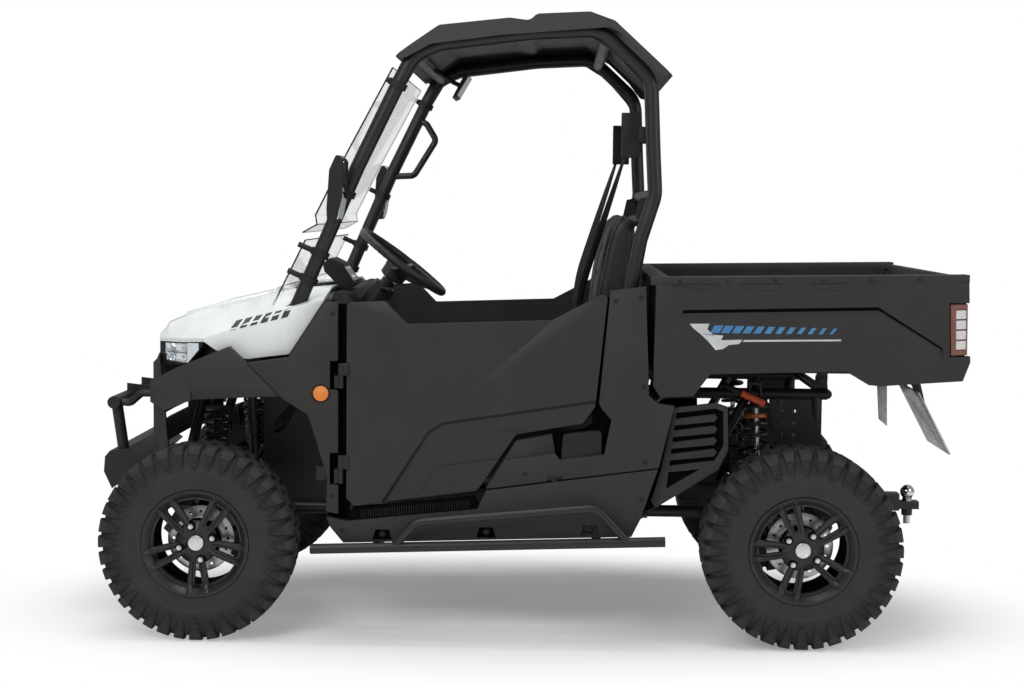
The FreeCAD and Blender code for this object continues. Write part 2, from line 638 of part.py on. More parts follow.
# ---------------------------------------------------------------- front bodywork
# Hood lines by station: X, height of the flat top, shoulder's Y and Z, and the side's lower edge
HOOD_STATIONS = [
    dict(x=1190, top=962, edge_y=474, edge_z=952, low=940), dict(x=1162, top=998, edge_y=505, edge_z=953, low=941),
    dict(x=1088, top=1030, edge_y=590, edge_z=957, low=945), dict(x=1008, top=1053, edge_y=660, edge_z=964, low=952),
    dict(x=970, top=1062, edge_y=661, edge_z=977, low=926), dict(x=870, top=1087, edge_y=661, edge_z=1011, low=899),
    dict(x=787, top=1107, edge_y=661, edge_z=1039, low=910), dict(x=736, top=1113, edge_y=661, edge_z=1057, low=916),
    dict(x=624, top=1124, edge_y=661, edge_z=1095, low=1089),
]
HOOD_FLAT_Y = 450.0
HOOD_SPLIT_Y = 304.0                     # seam between the lid and the hood's sides
HOOD_SKIN = 6.0
HOOD_NOSE_SLANT = 0.16                   # the front end's run back per mm outwards
# Hood lid by section: Y, then X and Z from the hinge to the front lip
HOOD_LID = (
    (0.0, [(842, 1094), (944, 1070), (1062, 1042), (1179, 1008), (1258, 974), (1288, 930)]),
    (150.0, [(842, 1094), (944, 1070), (1062, 1042), (1162, 1012), (1226, 976), (1254, 932)]),
    (298.0, [(842, 1094), (944, 1068), (1062, 1036), (1128, 1016), (1190, 980), (1220, 944)]),
)


def hood_block(lift=0.0, inner_y=HOOD_SPLIT_Y):
    """Filled form below the hood's left half, raised by lift; its front slants back outwards."""
    sections = []
    for s in HOOD_STATIONS:
        slant = HOOD_NOSE_SLANT if s is HOOD_STATIONS[0] else 0.0
        outline = [(inner_y, s["low"]), (inner_y, s["top"] + lift), (HOOD_FLAT_Y, s["top"] + lift),
                   (s["edge_y"] + lift, s["edge_z"] + lift), (s["edge_y"] + lift, s["low"])]
        sections.append([(s["x"] + slant * (s["edge_y"] - y), y, z) for y, z in outline])
    return loft(sections)


def make_hood_sides():
    """Outer halves of the hood that run down to the fenders and back to the doors."""
    block = hood_block()
    hollow = hood_block(0.0, HOOD_SPLIT_Y - 40.0)
    hollow.translate(vec((-HOOD_SKIN, -HOOD_SKIN, -HOOD_SKIN)))
    shell = block.cut(hollow).cut(cage_side(3.0))
    save("hood_sides", pair(shell))


def make_hood():
    """Raised middle lid of the hood, hinged at its rear edge, with a lip that curves round the nose."""
    sections = [(-y, line) for y, line in HOOD_LID[:0:-1]] + list(HOOD_LID)
    lid = loft([[(x, y, z) for x, z in line] + [(x - 3, y, z - 12) for x, z in reversed(line)]
                for y, line in sections])
    spine = prism([(870, 1078), (944, 1060), (1062, 1032), (1160, 998), (1160, 1020), (1062, 1049), (944, 1077),
                   (880, 1092)], "y", -190, 190)
    parts = [lid, spine]
    x, z = HOOD_HINGE
    for y in (-180, 180):
        parts.append(rod((x, y - 30, z), (x, y + 30, z), 8))
        parts.append(box(x - 2, 856, y - 30, y + 30, 1082, z))
    save("hood", [fused(parts)])


def make_headlamps():
    """Lamps on the angled corners, between the hood's lip and the fender."""
    strip = prism([(1178, 472), (1150, 503), (1080, 586), (1012, 652), (984, 630), (1052, 562), (1122, 480),
                   (1150, 450)], "z", 860, 951)
    lens = prism([(1180, 937), (1166, 876), (1078, 874), (1008, 948)], "y", 300, 700)
    save("headlamps", pair(strip.common(lens)))


# Front wall in plan, left side, and the brow above it by section: Y, wall top's X and the brow's X
WALL_LINE = [(1230.4, 393.7), (1250, 250), (1254, 0)]
BROWS = ((0.0, 1252, 1276), (150.0, 1249, 1244), (300.0, 1241, 1210), (394.0, 1228, 1194))


def make_front_fascia():
    """Black nose with its slotted grille, the cheeks behind the fenders and the lamps' surrounds."""
    outer = WALL_LINE + [(x, -y) for x, y in WALL_LINE[1::-1]]
    wall = prism(outer + [(x - 9, y) for x, y in reversed(outer)], "z", 560, 862)
    for z in (640, 672, 704, 736, 768):
        wall = wall.cut(box(1200, 1300, -262, 262, z, z + 24))
    sections = [(-y, low_x, high_x) for y, low_x, high_x in BROWS[:0:-1]] + list(BROWS)
    brow = loft([[(low_x, y, 858), (high_x, y, 915), (high_x - 13, y, 915), (low_x - 12, y, 858)]
                 for y, low_x, high_x in sections])
    cheek = prism([(1230.4, 393.7), (1122, 560.5), (1111, 555), (1221.6, 388)], "z", 540, 900)
    cheek = cheek.common(prism([(1199, 898), (1227, 852), (1240, 800), (1244, 600), (1236, 551), (1157, 588),
                                (1175, 714)], "y", 300, 600))
    surround = prism([(1205, 384), (1203, 412), (1152, 446), (1118, 477), (1048, 559), (985, 622), (915, 648),
                      (912, 638), (977, 610), (1040, 546), (1110, 464), (1138, 434), (1186, 404), (1188, 384)],
                     "z", 855, 935)
    surround = surround.common(prism([(1210, 858), (1062, 862), (1004, 892), (900, 894), (900, 903), (970, 922),
                                      (1008, 934), (1210, 934)], "y", 300, 700))
    nose = fused([wall, brow] + pair(cheek) + pair(surround))
    for stay in pair(frame_run("bar_stay", 4.0)):
        nose = nose.cut(stay)
    save("front_fascia", [nose])


def make_front_fenders():
    """Fenders that wrap round the front corners, with the wheel arch liner."""
    outline = [(760, 784), (870, 892), (922, 941), (1113, 861), (1240, 800), (1241, 729), (1169, 713),
               (1081, 753), (1036, 769)]
    wrap = prism([(740, 700), (1045, 700), (1240, 400), (1231.6, 394.5), (1053.8, 668), (740, 668)], "z", 700, 960)
    skin = wrap.common(prism(outline, "y", 370, 700))
    skin = skin.cut(prism([(701, 808), (668, 740), (720, 740)], "x", 700, 1045))
    liner_line = [(748, 780), (866, 886), (1000, 884), (1090, 842), (1175, 765)]
    liner = prism(liner_line + [(x, z - 6) for x, z in reversed(liner_line)], "y", 450, 669)
    liner = liner.cut(prism([(1052.6, 673), (1300, 673), (1300, 292.3)], "z", 700, 1000))
    save("front_fenders", pair(fused([skin, liner])))


def make_front_side_panels():
    """Panels between the front wheel arch and the door."""
    outline = [(619, 1086), (576, 1086), (573, 410), (613, 419), (608, 526), (669, 726), (749, 776), (864, 889),
               (733, 909)]
    panel = prism(outline, "y", BODY_Y - PANEL_T, BODY_Y)
    for z0, z1 in DOOR_HINGE_SPANS:
        panel = panel.cut(box(560, 600, 560, 710, z0 - 6, z1 + 6)).cut(box(560, 660, 560, 690, z0 - 2, z1))
    panel = panel.cut(rod((629, 660, 796), (629, 710, 796), 29.5))
    save("front_side_panels", pair(panel))


def make_side_markers():
    save("side_markers", pair(rod((629, 672, 796), (629, 704, 796), 29)))


LAMP_TAB_HOLE = (1332.0, 742.0)          # X and Z
LAMP_TAB_HOLE_R = 5.25


def make_bull_bar():
    parts = [rod((1377, -345, 719), (1377, 345, 719), 21)]
    for sign in (1, -1):
        # The stays dip under the line of the lamp tabs' holes, so that a bolt goes in from the side
        parts.append(tube([(1377, sign * 300, 719), (1330, sign * 300, 714), (1292, sign * 300, 748),
                           (BAR_STAY_X + 0.4, sign * 300, 748)], 13, 24))
        parts.append(tube([(1377, sign * 300, 719), (1349, sign * 300, 524), (1281, sign * 240, 440)], 19, 50))
        parts.append(box(1273.2, 1281, sign * 240 - 30, sign * 240 + 30, 400, 462))
    parts.append(prism([(1411, 533), (1394, 553), (1339, 561), (1281, 518), (1388, 424), (1415, 482)],
                       "y", -330, 330))
    x, z = LAMP_TAB_HOLE
    for y in (-110, 110):
        tab = prism([(1386, 716), (1307, 716), (1307, 754), (1386, 763)], "y", y - 3, y + 3)
        parts.append(tab.cut(rod((x, y - 4, z), (x, y + 4, z), LAMP_TAB_HOLE_R)))
    save("bull_bar", [fused(parts)])


# ---------------------------------------------------------------- cabin
FIREWALL_X = 628.0


def make_floor_tub():
    """Floor pan with footwells, firewall and seat plinth, notched round the frame's posts."""
    floor = box(-400, 560, -598, 598, 396, 406)
    slope = prism([(560, 396), (640, 470), (640, 482), (556, 406)], "y", -370, 370)
    wall = box(FIREWALL_X, FIREWALL_X + 12, -560, 560, 700, 959)
    wall_low = box(FIREWALL_X, FIREWALL_X + 12, -370, 370, 470, 705)
    wheel_side = prism([(560, 396), (600, 430), (640, 700), (628, 702), (590, 436), (552, 406)], "y", 365, 560)
    well_side = prism([(560, 396), (640, 470), (640, 700), (600, 430)], "y", 364, 372)
    plinth = box(-330, 130, -530, 530, 404, 700).cut(box(-331, 120, -520, 520, 406, 690))
    back = box(-400, -388, -560, 560, 830, 1040)
    tub = fused([floor, slope, wall, wall_low, wheel_side, mirrored(wheel_side), well_side, mirrored(well_side),
                 plinth])
    for name in ("front_post", "rear_post", "sill", "bed_rail"):
        room = frame_run(name, 2.0)
        for tool in pair(room):
            tub = tub.cut(tool)
            back = back.cut(tool)
    save("floor_tub", [tub.cut(column_solid(6.0)), back])


def make_dashboard():
    outline = [(628, 960), (700, 990), (720, 1040), (720, 1072), (618, 1078), (608, 1112), (560, 1110),
               (520, 1010), (560, 960)]
    dash = prism(outline, "y", -535, 535, 14)
    pod = prism([(660, 1198), (637, 1217), (597, 1197), (553, 1131), (579, 1112), (603, 1122), (654, 1172)],
                "y", 235, 425, 8)
    neck = box(576, 606, 290, 370, 1085, 1150)
    save("dashboard", [fused([dash, pod, neck]).cut(column_solid(6.0))])


def make_seats():
    backs, cushions = [], []
    for y in (-290, 290):
        back = prism([(-335, 1394), (-296, 1344), (-270, 1250), (-242, 1103), (-225, 860), (-318, 860),
                      (-355, 1130), (-368, 1330), (-360, 1390)], "y", y - 240, y + 240, 20)
        backs.append(back)
        cushions.append(prism([(-215, 712), (170, 712), (185, 790), (150, 838), (-100, 822), (-220, 816)],
                              "y", y - 240, y + 240, 20))
    save("seat_backs", backs)
    save("seat_cushions", cushions)


def make_seat_belts():
    """Straps down the outer front of each seat back, from a reel held on the cage."""
    web_line = [(-332, 1560), (-180, 1080), (-198, 820)]
    web = prism(web_line + [(x + 4, z) for x, z in reversed(web_line)], "y", 446, 494)
    reel = box(-378, -318, 440, 500, 1554, 1698)
    arm = box(-428, -370, 446, 590, 1600, 1650)
    save("seat_belts", pair(fused([web, reel, arm]).cut(cage_side(0.4))))


def make_mirrors():
    """Side mirrors on the A-pillars and the cabin mirror under the roof."""
    shell = prism([(568, 1553), (592, 1500), (600, 1380), (598, 1338), (573, 1335), (553, 1420), (549, 1528)],
                  "y", 650, 800, 14)
    arm = tube([(576, 600, 1395), (579, 640, 1395), (575, 670, 1395)], 9, 15).cut(cage_side(0.2))
    inside = fused([prism([(240, 1770), (254, 1764), (212, 1846), (198, 1842)], "y", -115, 115),
                    tube([(225, 0, 1808), (262, 0, 1826), (326, 0, 1868)], 8, 20)])
    inside = inside.cut(rod((340, -30, 1874), (340, 30, 1874), CAGE_R - 3.7))
    save("mirrors", pair(fused([shell, arm])) + [inside])


# ---------------------------------------------------------------- doors and side panels
DOOR_OUTLINE = [(547, 1084), (427, 1090), (358, 1018), (-101, 1035), (-255, 1118), (-275, 1114), (-240, 763),
                (-201, 710), (10, 672), (131, 492), (522, 438), (547, 462)]


DOOR_CREASE = [(431, 440), (286, 668), (240, 699), (-260, 777.7)]
DOOR_FLARE = (6.0, 10.0)                 # how far the crease leans out, in X and Z


def door_skin():
    """Door slab with its lower part set back under a sloping ledge, and a raised low corner."""
    slab = prism(DOOR_OUTLINE, "y", BODY_Y - PANEL_T, BODY_Y, 12)
    below = [(-320, 700), (0, 560), (90, 420)]
    inner = [(x, BODY_Y - 10, z) for x, z in DOOR_CREASE + below]
    outer = [(x + DOOR_FLARE[0], BODY_Y + 0.5, z + DOOR_FLARE[1]) for x, z in DOOR_CREASE]
    outer += [(x, BODY_Y + 0.5, z) for x, z in below]
    pad = prism([(345, 440), (255, 567), (60, 592), (100, 430)], "y", BODY_Y - 12, BODY_Y - 5)
    return fused([slab.cut(loft([inner, outer])), pad.common(slab)])


def make_doors():
    skin = door_skin()
    x, y = DOOR_HINGE
    parts = [skin]
    bores = []
    for z0, z1 in DOOR_HINGE_SPANS:
        middle = (z0 + z1) / 2
        parts.append(rod((x, y, middle + 1), (x, y, z1), 9))
        parts.append(box(x - 24, x - 2, y - 14, y + 3, middle + 1, z1))
        bores.append(rod((x, y, z0), (x, y, z1 + 1), 5.3))
    relief_for_pin = [rod((x, y, z0 - 6), (x, y, (z0 + z1) / 2 + 0.5), 15) for z0, z1 in DOOR_HINGE_SPANS]
    door = fused(parts)
    for tool in bores + relief_for_pin:
        door = door.cut(tool)
    for side, sign in SIDES:
        save("door_" + side, [side_of(door.copy(), sign)])


def make_rear_side_panels():
    """Panels from the door's rear edge to the bed, with the latch pocket below the door's corner."""
    upper = [(-284, 1131), (-394, 1145), (-409, 801), (-438, 776), (-490, 770), (-443, 573), (104, 499),
             (43, 592), (-115, 614), (-129, 594), (-271, 612), (-292, 723), (-262, 757), (-252, 775)]
    panel = prism(upper, "y", BODY_Y - PANEL_T, BODY_Y)
    for tool in bolt_pockets(((-116, 524),)):
        panel = panel.cut(tool)
    floor = prism([(98, 500), (-2, 648), (-208, 690), (-300, 760), (-300, 560)], "y", 640, 652)
    link = prism([(104, 499), (60, 570), (-290, 600), (-300, 560)], "y", 640, BODY_Y - 10)
    shelf = prism([(104, 499), (10, 650), (-104, 672), (-118, 600), (-110, 560)], "y", 640, 678)
    grip = prism([(-134, 590), (-262, 606), (-262, 688), (-140, 674)], "y", 645, 686, 14)
    save("rear_side_panels", pair(fused([panel, floor, link, shelf, grip])))


def bolt_pockets(spots):
    """Cutting tools for the tapered pockets that hold a bolt's head in the outer face."""
    return [prism([(x - 31, z - 15), (x + 31, z - 15), (x + 22, z + 19), (x - 22, z + 19)], "y", BODY_Y - 13,
                  BODY_Y + 1) for x, z in spots]


def make_rocker_panels():
    sill = prism([(610, 402), (598, 369), (556, 319), (-360, 351), (-387, 406), (-441, 568), (102, 493),
                  (130, 432), (550, 388)], "y", 672, BODY_Y)
    for tool in bolt_pockets(((432, 344), (101, 356), (-229, 368))):
        sill = sill.cut(tool)
    tread = prism([(552, 384), (528, 430), (140, 471), (124, 440), (135, 424)], "y", 660, BODY_Y - 12)
    ledge = prism([(552, 392), (135, 436), (135, 424), (552, 380)], "y", 600, 675)
    save("rocker_panels", pair(fused([sill, tread, ledge])))


def make_louvre_panels():
    """Panels behind the side panels: a backing with a raised border and sloping slats."""
    outline = [(-491, 760), (-624, 777), (-660, 765), (-665, 628), (-634, 563), (-436, 438), (-422, 462),
               (-452, 560)]
    border = prism(outline, "y", 640, 662)
    border = border.cut(prism([(-498, 744), (-622, 760), (-648, 750), (-650, 640), (-622, 592), (-470, 500)],
                              "y", 646, 663))
    keep = prism(outline, "y", 640, 662)
    slats = []
    for k in range(5):
        z = -37.0 * k
        slats.append(prism([(-460, 700 + z), (-620, 717 + z), (-629, 730 + z), (-620, 741 + z), (-460, 719 + z)],
                           "y", 645, 658).common(keep))
    save("louvre_panels", pair(fused([border] + slats)))


def make_step_bars():
    main = tube([(656, 740, 305), (-465, 740, 344)], 16, 10)
    hoop = tube([(393, 740, 314), (324, 745, 396), (-249, 745, 449), (-349, 740, 340)], 14, 60)
    brackets = []
    for x, z in ((450, 312), (-250, 336)):
        brackets.append(box(x - 14, x + 14, 548, 740, z - 12, z + 4))
        brackets.append(box(x - 14, x + 14, 548, 572, z - 12, 352.5))
    save("step_bars", pair(fused([main, hoop] + brackets)))


# ---------------------------------------------------------------- cargo bed
RIM_FRONT = (-411.0, 1150.0)             # X and height of the rim's underside, front and rear
RIM_REAR = (-1406.0, 1168.0)
RIM_T = 25.0
TAIL_GAP = 8.0


def rim_under(x):
    share = (x - RIM_FRONT[0]) / (RIM_REAR[0] - RIM_FRONT[0])
    return RIM_FRONT[1] + share * (RIM_REAR[1] - RIM_FRONT[1])


def make_cargo_bed():
    """Floor, front wall, inner walls, rim, runners and the lugs of the pivot."""
    floor_rear = TAILGATE_HINGE[0] + 12 + TAIL_GAP
    floor = box(floor_rear, -431, -BED_IN_Y, BED_IN_Y, BED_FLOOR_Z - 12, BED_FLOOR_Z)
    for y in (75, 225, 375, 525):
        groove = box(floor_rear + 30, -480, y - 14, y + 14, BED_FLOOR_Z - 5, BED_FLOOR_Z + 1)
        for tool in pair(groove):
            floor = floor.cut(tool)
    front = prism([(-445, 850), (-431, 850), (-431, rim_under(-431) + 2), (-445, rim_under(-445) + 2)],
                  "y", -640, 640)
    wall = prism([(floor_rear, BED_FLOOR_Z - 12), (-431, BED_FLOOR_Z - 12), (-431, rim_under(-431) + 2),
                  (floor_rear, rim_under(floor_rear) + 2)], "y", BED_IN_Y, BED_IN_Y + 14)
    rim = prism([RIM_FRONT, (RIM_FRONT[0], RIM_FRONT[1] + RIM_T), (RIM_REAR[0], RIM_REAR[1] + RIM_T), RIM_REAR],
                "y", BED_IN_Y, BED_OUT_Y)
    head = prism([RIM_FRONT, (RIM_FRONT[0], RIM_FRONT[1] + RIM_T), (-470, rim_under(-470) + RIM_T),
                  (-470, rim_under(-470))], "y", -BED_IN_Y, BED_IN_Y)
    parts = [floor, front, head] + pair(wall) + pair(rim)
    x, z = BED_PIVOT
    for sign in (1, -1):
        runner = box(-1360, -440, 327, 377, 850, BED_FLOOR_Z - 10)
        lug = fused([box(x - 18, x + 18, 354, 366, z, 852), rod((x, 354, z), (x, 366, z), 18)])
        lug = lug.cut(rod((x, 325, z), (x, 375, z), 10.3))
        parts += [side_of(runner, sign), side_of(lug, sign)]
    bed = fused(parts)
    x, z = TAILGATE_HINGE
    for sign in (1, -1):
        pin = rod((x, 560, z), (x, 600, z), 7)
        strap = box(x - 7, floor_rear + 6, 592, 604, BED_FLOOR_Z - 12, z + 7)
        bed = fused([bed, side_of(pin, sign), side_of(strap, sign)])
    save("cargo_bed", [bed])


BED_GROOVE = [(-513, 1073), (-1124, 1089), (-1327, 963)]
BED_CREASE = [(-1332, 918), (-1131, 1055), (-504, 1035)]
# Pads under the rim, by pad: X where its front edge leaves the rim, X of its foot's two ends, X of its rear
# edge at the rim, height of the foot
BED_PADS = ((-476, -599, -599, -622, 1137), (-693, -721, -802, -823, 1139), (-915, -940, -1008, -1024, 1142))


def make_bed_side_panels():
    """Outer side walls with a groove that slopes out to a crease, pads under the rim and the lamps' seats."""
    outline = [(-427, rim_under(-427) - 0.5), (-422, 831), (-445, 796), (-549, 801), (-601, 871), (-1026, 886),
               (-1099, 843), (-1137, 840), (-1393, 859), (-1415, 919), (-1405, rim_under(-1405) - 0.5)]
    skin = prism(outline, "y", BED_OUT_Y - 30, BED_OUT_Y)
    groove_floor = [(-1330, 955), (-1127, 1078), (-511, 1062)]
    skin = skin.cut(loft([[(x, BED_OUT_Y - 8, z) for x, z in BED_GROOVE + groove_floor],
                          [(x, BED_OUT_Y + 0.5, z) for x, z in BED_GROOVE + BED_CREASE]]))
    pads = [prism([(a, rim_under(a) - 0.5), (b, low), (c, low), (d, rim_under(d) - 0.5)] if b != c else
                  [(a, rim_under(a) - 0.5), (b, low), (d, rim_under(d) - 0.5)], "y", BED_OUT_Y - 5, BED_OUT_Y + 3.5)
            for a, b, c, d, low in BED_PADS]
    post = box(-1404, -1376, BED_IN_Y + 16, BED_OUT_Y - 20, 900, 1160)
    lamp_seat = prism([(-1345, 1104), (-1420, 1105), (-1420, 938), (-1350, 934)], "y", BED_OUT_Y - 30,
                      BED_OUT_Y + 1)
    save("bed_side_panels", pair(fused([skin, post] + pads).cut(lamp_seat)))


def make_tail_lamps():
    lamp = prism([(-1347, 1102), (-1405, 1103), (-1407, 940), (-1352, 936)], "y", BED_OUT_Y - 29.5, BED_OUT_Y - 2)
    save("tail_lamps", pair(lamp))


def make_tailgate():
    """Tailgate with a sunk panel and the paddle of its latch."""
    x, z = TAILGATE_HINGE
    gate = box(x - 13, x + 12, -585, 585, z + 7, 1185)
    gate = gate.cut(box(x - 14, x - 8, -520, 520, z + 60, 1090)).cut(box(x - 14, x - 4, -70, 70, 1110, 1165))
    paddle = box(x - 11, x - 3, -55, 55, 1132, 1158)
    gate = fused([gate, paddle, rod((x, -585, z), (x, 585, z), 12)])
    for sign in (1, -1):
        gate = gate.cut(rod((x, sign * 555, z), (x, sign * 590, z), 7.3))
    save("tailgate", [gate])


def make_licence_bracket():
    plate = prism([(-1306, 800), (-1414, 596), (-1409, 593), (-1301, 797)], "y", 90, 450)
    arms = [prism([(-1262, 872), (-1306, 872), (-1340, 735), (-1301, 790)], "y", y, y + 6) for y in (130, 400)]
    blade = prism([(-1168, 872), (-1203, 872), (-1208, 683), (-1180, 706)], "y", 420, 424)
    save("licence_bracket", [fused([plate] + arms), blade])


def make_bed_lever():
    lever = tube([(-663, 370.5, 800), (-663, 445, 818), (-734, 460, 785), (-797, 460, 756)], 9, 20)
    save("bed_lever", [lever])


# ---------------------------------------------------------------- everything
def build():
    os.makedirs("parts", exist_ok=True)
    make_wheels()
    make_knuckles()
    make_front_suspension()
    make_rear_suspension()
    make_shocks()
    make_drive_units()
    make_steering()
    make_steering_wheel()
    make_steering_column()
    make_main_frame()
    make_battery()
    make_hitch()
    make_roll_cage()
    make_roof()
    make_windshield()
    make_glass_clamps()
    make_hood()
    make_hood_sides()
    make_headlamps()
    make_front_fascia()
    make_front_fenders()
    make_front_side_panels()
    make_side_markers()
    make_bull_bar()
    make_floor_tub()
    make_dashboard()
    make_seats()
    make_seat_belts()
    make_mirrors()
    make_doors()
    make_rear_side_panels()
    make_rocker_panels()
    make_louvre_panels()
    make_step_bars()
    make_cargo_bed()
    make_bed_side_panels()
    make_tail_lamps()
    make_tailgate()
    make_licence_bracket()
    make_bed_lever()


build()
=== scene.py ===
"""Looks of the two-seat utility side-by-side: finishes, soft seats, tread, lamps, fasteners and small trim.

The part's own frame: +X forward, +Y to the vehicle's left, +Z up. Forms are drawn in mm.
"""

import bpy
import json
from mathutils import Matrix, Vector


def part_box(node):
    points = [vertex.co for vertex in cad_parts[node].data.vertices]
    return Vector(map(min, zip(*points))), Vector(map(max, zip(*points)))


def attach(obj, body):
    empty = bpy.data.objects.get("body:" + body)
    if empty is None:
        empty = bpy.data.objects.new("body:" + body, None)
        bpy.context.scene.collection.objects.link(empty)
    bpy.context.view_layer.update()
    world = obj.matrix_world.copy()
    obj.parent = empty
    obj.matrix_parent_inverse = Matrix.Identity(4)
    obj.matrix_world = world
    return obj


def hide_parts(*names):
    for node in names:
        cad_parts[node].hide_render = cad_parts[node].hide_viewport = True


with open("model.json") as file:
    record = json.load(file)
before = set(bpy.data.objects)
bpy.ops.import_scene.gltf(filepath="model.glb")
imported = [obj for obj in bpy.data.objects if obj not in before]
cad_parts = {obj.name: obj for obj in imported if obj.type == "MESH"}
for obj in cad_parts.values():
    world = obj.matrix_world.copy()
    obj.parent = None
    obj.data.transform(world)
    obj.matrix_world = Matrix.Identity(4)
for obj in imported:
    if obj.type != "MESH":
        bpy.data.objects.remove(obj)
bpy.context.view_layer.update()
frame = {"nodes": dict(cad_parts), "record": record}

import json
import math

import bmesh
import bpy
from mathutils import Matrix, Vector
from mathutils.bvhtree import BVHTree

NODES = frame["nodes"]
BODY_OF = {node: body for body, nodes in frame["record"]["behaviour"]["bodies"].items() for node in nodes}
MM = 0.001
SIDES = (("left", 1.0), ("right", -1.0))
FORWARD, LEFT, UP = Vector((1.0, 0.0, 0.0)), Vector((0.0, 1.0, 0.0)), Vector((0.0, 0.0, 1.0))


# ---------------------------------------------------------------- material tools
def linear(code):
    """Linear RGBA of an sRGB hex colour."""
    values = [int(code[i:i + 2], 16) / 255 for i in (1, 3, 5)]
    return tuple(v / 12.92 if v <= 0.04045 else ((v + 0.055) / 1.055) ** 2.4 for v in values) + (1.0,)


def add(tree, kind, inputs=None, **settings):
    """Adds a node; an input is a value, or another node's output socket to link."""
    node = tree.nodes.new(kind)
    for name, value in settings.items():
        setattr(node, name, value)
    for name, value in (inputs or {}).items():
        if isinstance(value, bpy.types.NodeSocket):
            tree.links.new(value, node.inputs[name])
        else:
            node.inputs[name].default_value = value
    return node


def start_finish(name):
    """New material, its empty tree and Object coordinates."""
    material = bpy.data.materials.new(name)
    material.use_nodes = True
    tree = material.node_tree
    tree.nodes.clear()
    return material, tree, add(tree, "ShaderNodeTexCoord").outputs["Object"]


def grained(name, dark, light, roughness, grain_mm, relief_mm, patch_mm=70.0, spread=0.06, extra=None):
    """Opaque finish with a surface grain and slow changes of tone and sheen."""
    material, tree, coords = start_finish(name)
    patches = add(tree, "ShaderNodeTexNoise",
                  {"Vector": coords, "Scale": 1000 / patch_mm, "Detail": 4.0, "Roughness": 0.55}).outputs["Fac"]
    tone = add(tree, "ShaderNodeValToRGB", {"Fac": patches})
    for element, position, colour in zip(tone.color_ramp.elements, (0.3, 0.72), (dark, light)):
        element.position, element.color = position, linear(colour)
    sheen = add(tree, "ShaderNodeMapRange", {"Value": patches, "From Min": 0.3, "From Max": 0.7,
                                             "To Min": roughness - spread, "To Max": roughness + spread})
    grain = add(tree, "ShaderNodeTexNoise",
                {"Vector": coords, "Scale": 1000 / grain_mm, "Detail": 3.0, "Roughness": 0.7})
    bump = add(tree, "ShaderNodeBump",
               {"Height": grain.outputs["Fac"], "Strength": 0.6, "Distance": relief_mm * MM})
    shader = add(tree, "ShaderNodeBsdfPrincipled",
                 {"Base Color": tone.outputs["Color"], "Roughness": sheen.outputs["Result"],
                  "Normal": bump.outputs["Normal"], **(extra or {})})
    add(tree, "ShaderNodeOutputMaterial", {"Surface": shader.outputs["BSDF"]})
    return material


def clear_finish(name, tint, ior, roughness, coat):
    """Clear sheet or lens that shows what lies behind it, with the gloss of its hard coat."""
    material, tree, coords = start_finish(name)
    haze = add(tree, "ShaderNodeTexNoise", {"Vector": coords, "Scale": 9.0, "Detail": 3.0})
    spread = add(tree, "ShaderNodeMapRange",
                 {"Value": haze.outputs["Fac"], "To Min": roughness, "To Max": 1.5 * roughness})
    shader = add(tree, "ShaderNodeBsdfPrincipled",
                 {"Base Color": linear(tint), "Roughness": spread.outputs["Result"], "IOR": ior,
                  "Transmission Weight": 1.0, "Coat Weight": coat, "Coat Roughness": 0.02})
    add(tree, "ShaderNodeOutputMaterial", {"Surface": shader.outputs["BSDF"]})
    return material


# ---------------------------------------------------------------- finishes
DULL, SATIN = {"Specular IOR Level": 0.3}, {"Specular IOR Level": 0.4}
METAL = {"Metallic": 1.0}
CLEAR_COAT = {"Coat Weight": 0.6, "Coat Roughness": 0.05}

# Injection-moulded polypropylene with a spark-eroded grain: soft grey sheen, no mirror glints.
# The real grain is about 0.8 mm; it is drawn at 2.4 mm so that it shows.
charcoal_moulding = grained("moulded_charcoal_polypropylene", "#2d2a29", "#32302e", 0.6, 2.4, 0.10, 110.0, extra=DULL)
# The same plastic in black, with a coarser grain, as dash and floor liners have
black_moulding = grained("moulded_black_polypropylene", "#191918", "#1e1e1d", 0.6, 3.0, 0.14, 110.0, extra=DULL)
# Rotationally moulded polyethylene of the roof, bleached a little by the sun
roof_moulding = grained("rotomoulded_polyethylene", "#343231", "#3b3937", 0.58, 4.0, 0.16, 140.0,
                        extra={"Specular IOR Level": 0.35})
# Painted ABS bodywork: a clear coat over white gives soft sharp-edged reflections
white_panel = grained("painted_white_abs", "#e2e5e5", "#e9ecec", 0.26, 9.0, 0.03, 160.0, 0.03,
                      {"Coat Weight": 0.35, "Coat Roughness": 0.08})
# Black powder coat on bent steel tube: fine orange peel, satin
powder_coat = grained("black_powder_coat", "#1c1c1b", "#232322", 0.42, 2.2, 0.12, extra=SATIN)
# Gloss black enamel on spring steel
spring_enamel = grained("black_spring_enamel", "#131314", "#1b1b1c", 0.28, 3.0, 0.05)
# Cast aluminium wheel with satin black paint: slightly pebbled, even
wheel_paint = grained("satin_black_wheel_paint", "#201f1f", "#262625", 0.36, 2.5, 0.05, extra=SATIN)
# Tyre compound: carbon black with a bloom that greys the high spots
tyre_rubber = grained("tyre_rubber", "#2c2b29", "#363533", 0.78, 2.6, 0.18, 45.0, extra=DULL)
# Raw sand casting of the drive units, dulled aluminium
cast_aluminium = grained("sand_cast_aluminium", "#6f7173", "#86888a", 0.5, 2.8, 0.2, 60.0, 0.08, METAL)
# Black e-coat on knuckles and arms
e_coat = grained("black_e_coat", "#17181a", "#202123", 0.45, 2.6, 0.08)
# Turned and ground steel of the brake discs
ground_steel = grained("ground_steel", "#a7a9ab", "#bcbec0", 0.3, 2.0, 0.03, 40.0, 0.05, METAL)
# Bright zinc on nuts, bolts and brackets
zinc_plate = grained("bright_zinc_plate", "#c8cacb", "#d9dbdc", 0.3, 2.5, 0.02, 30.0, 0.05, METAL)
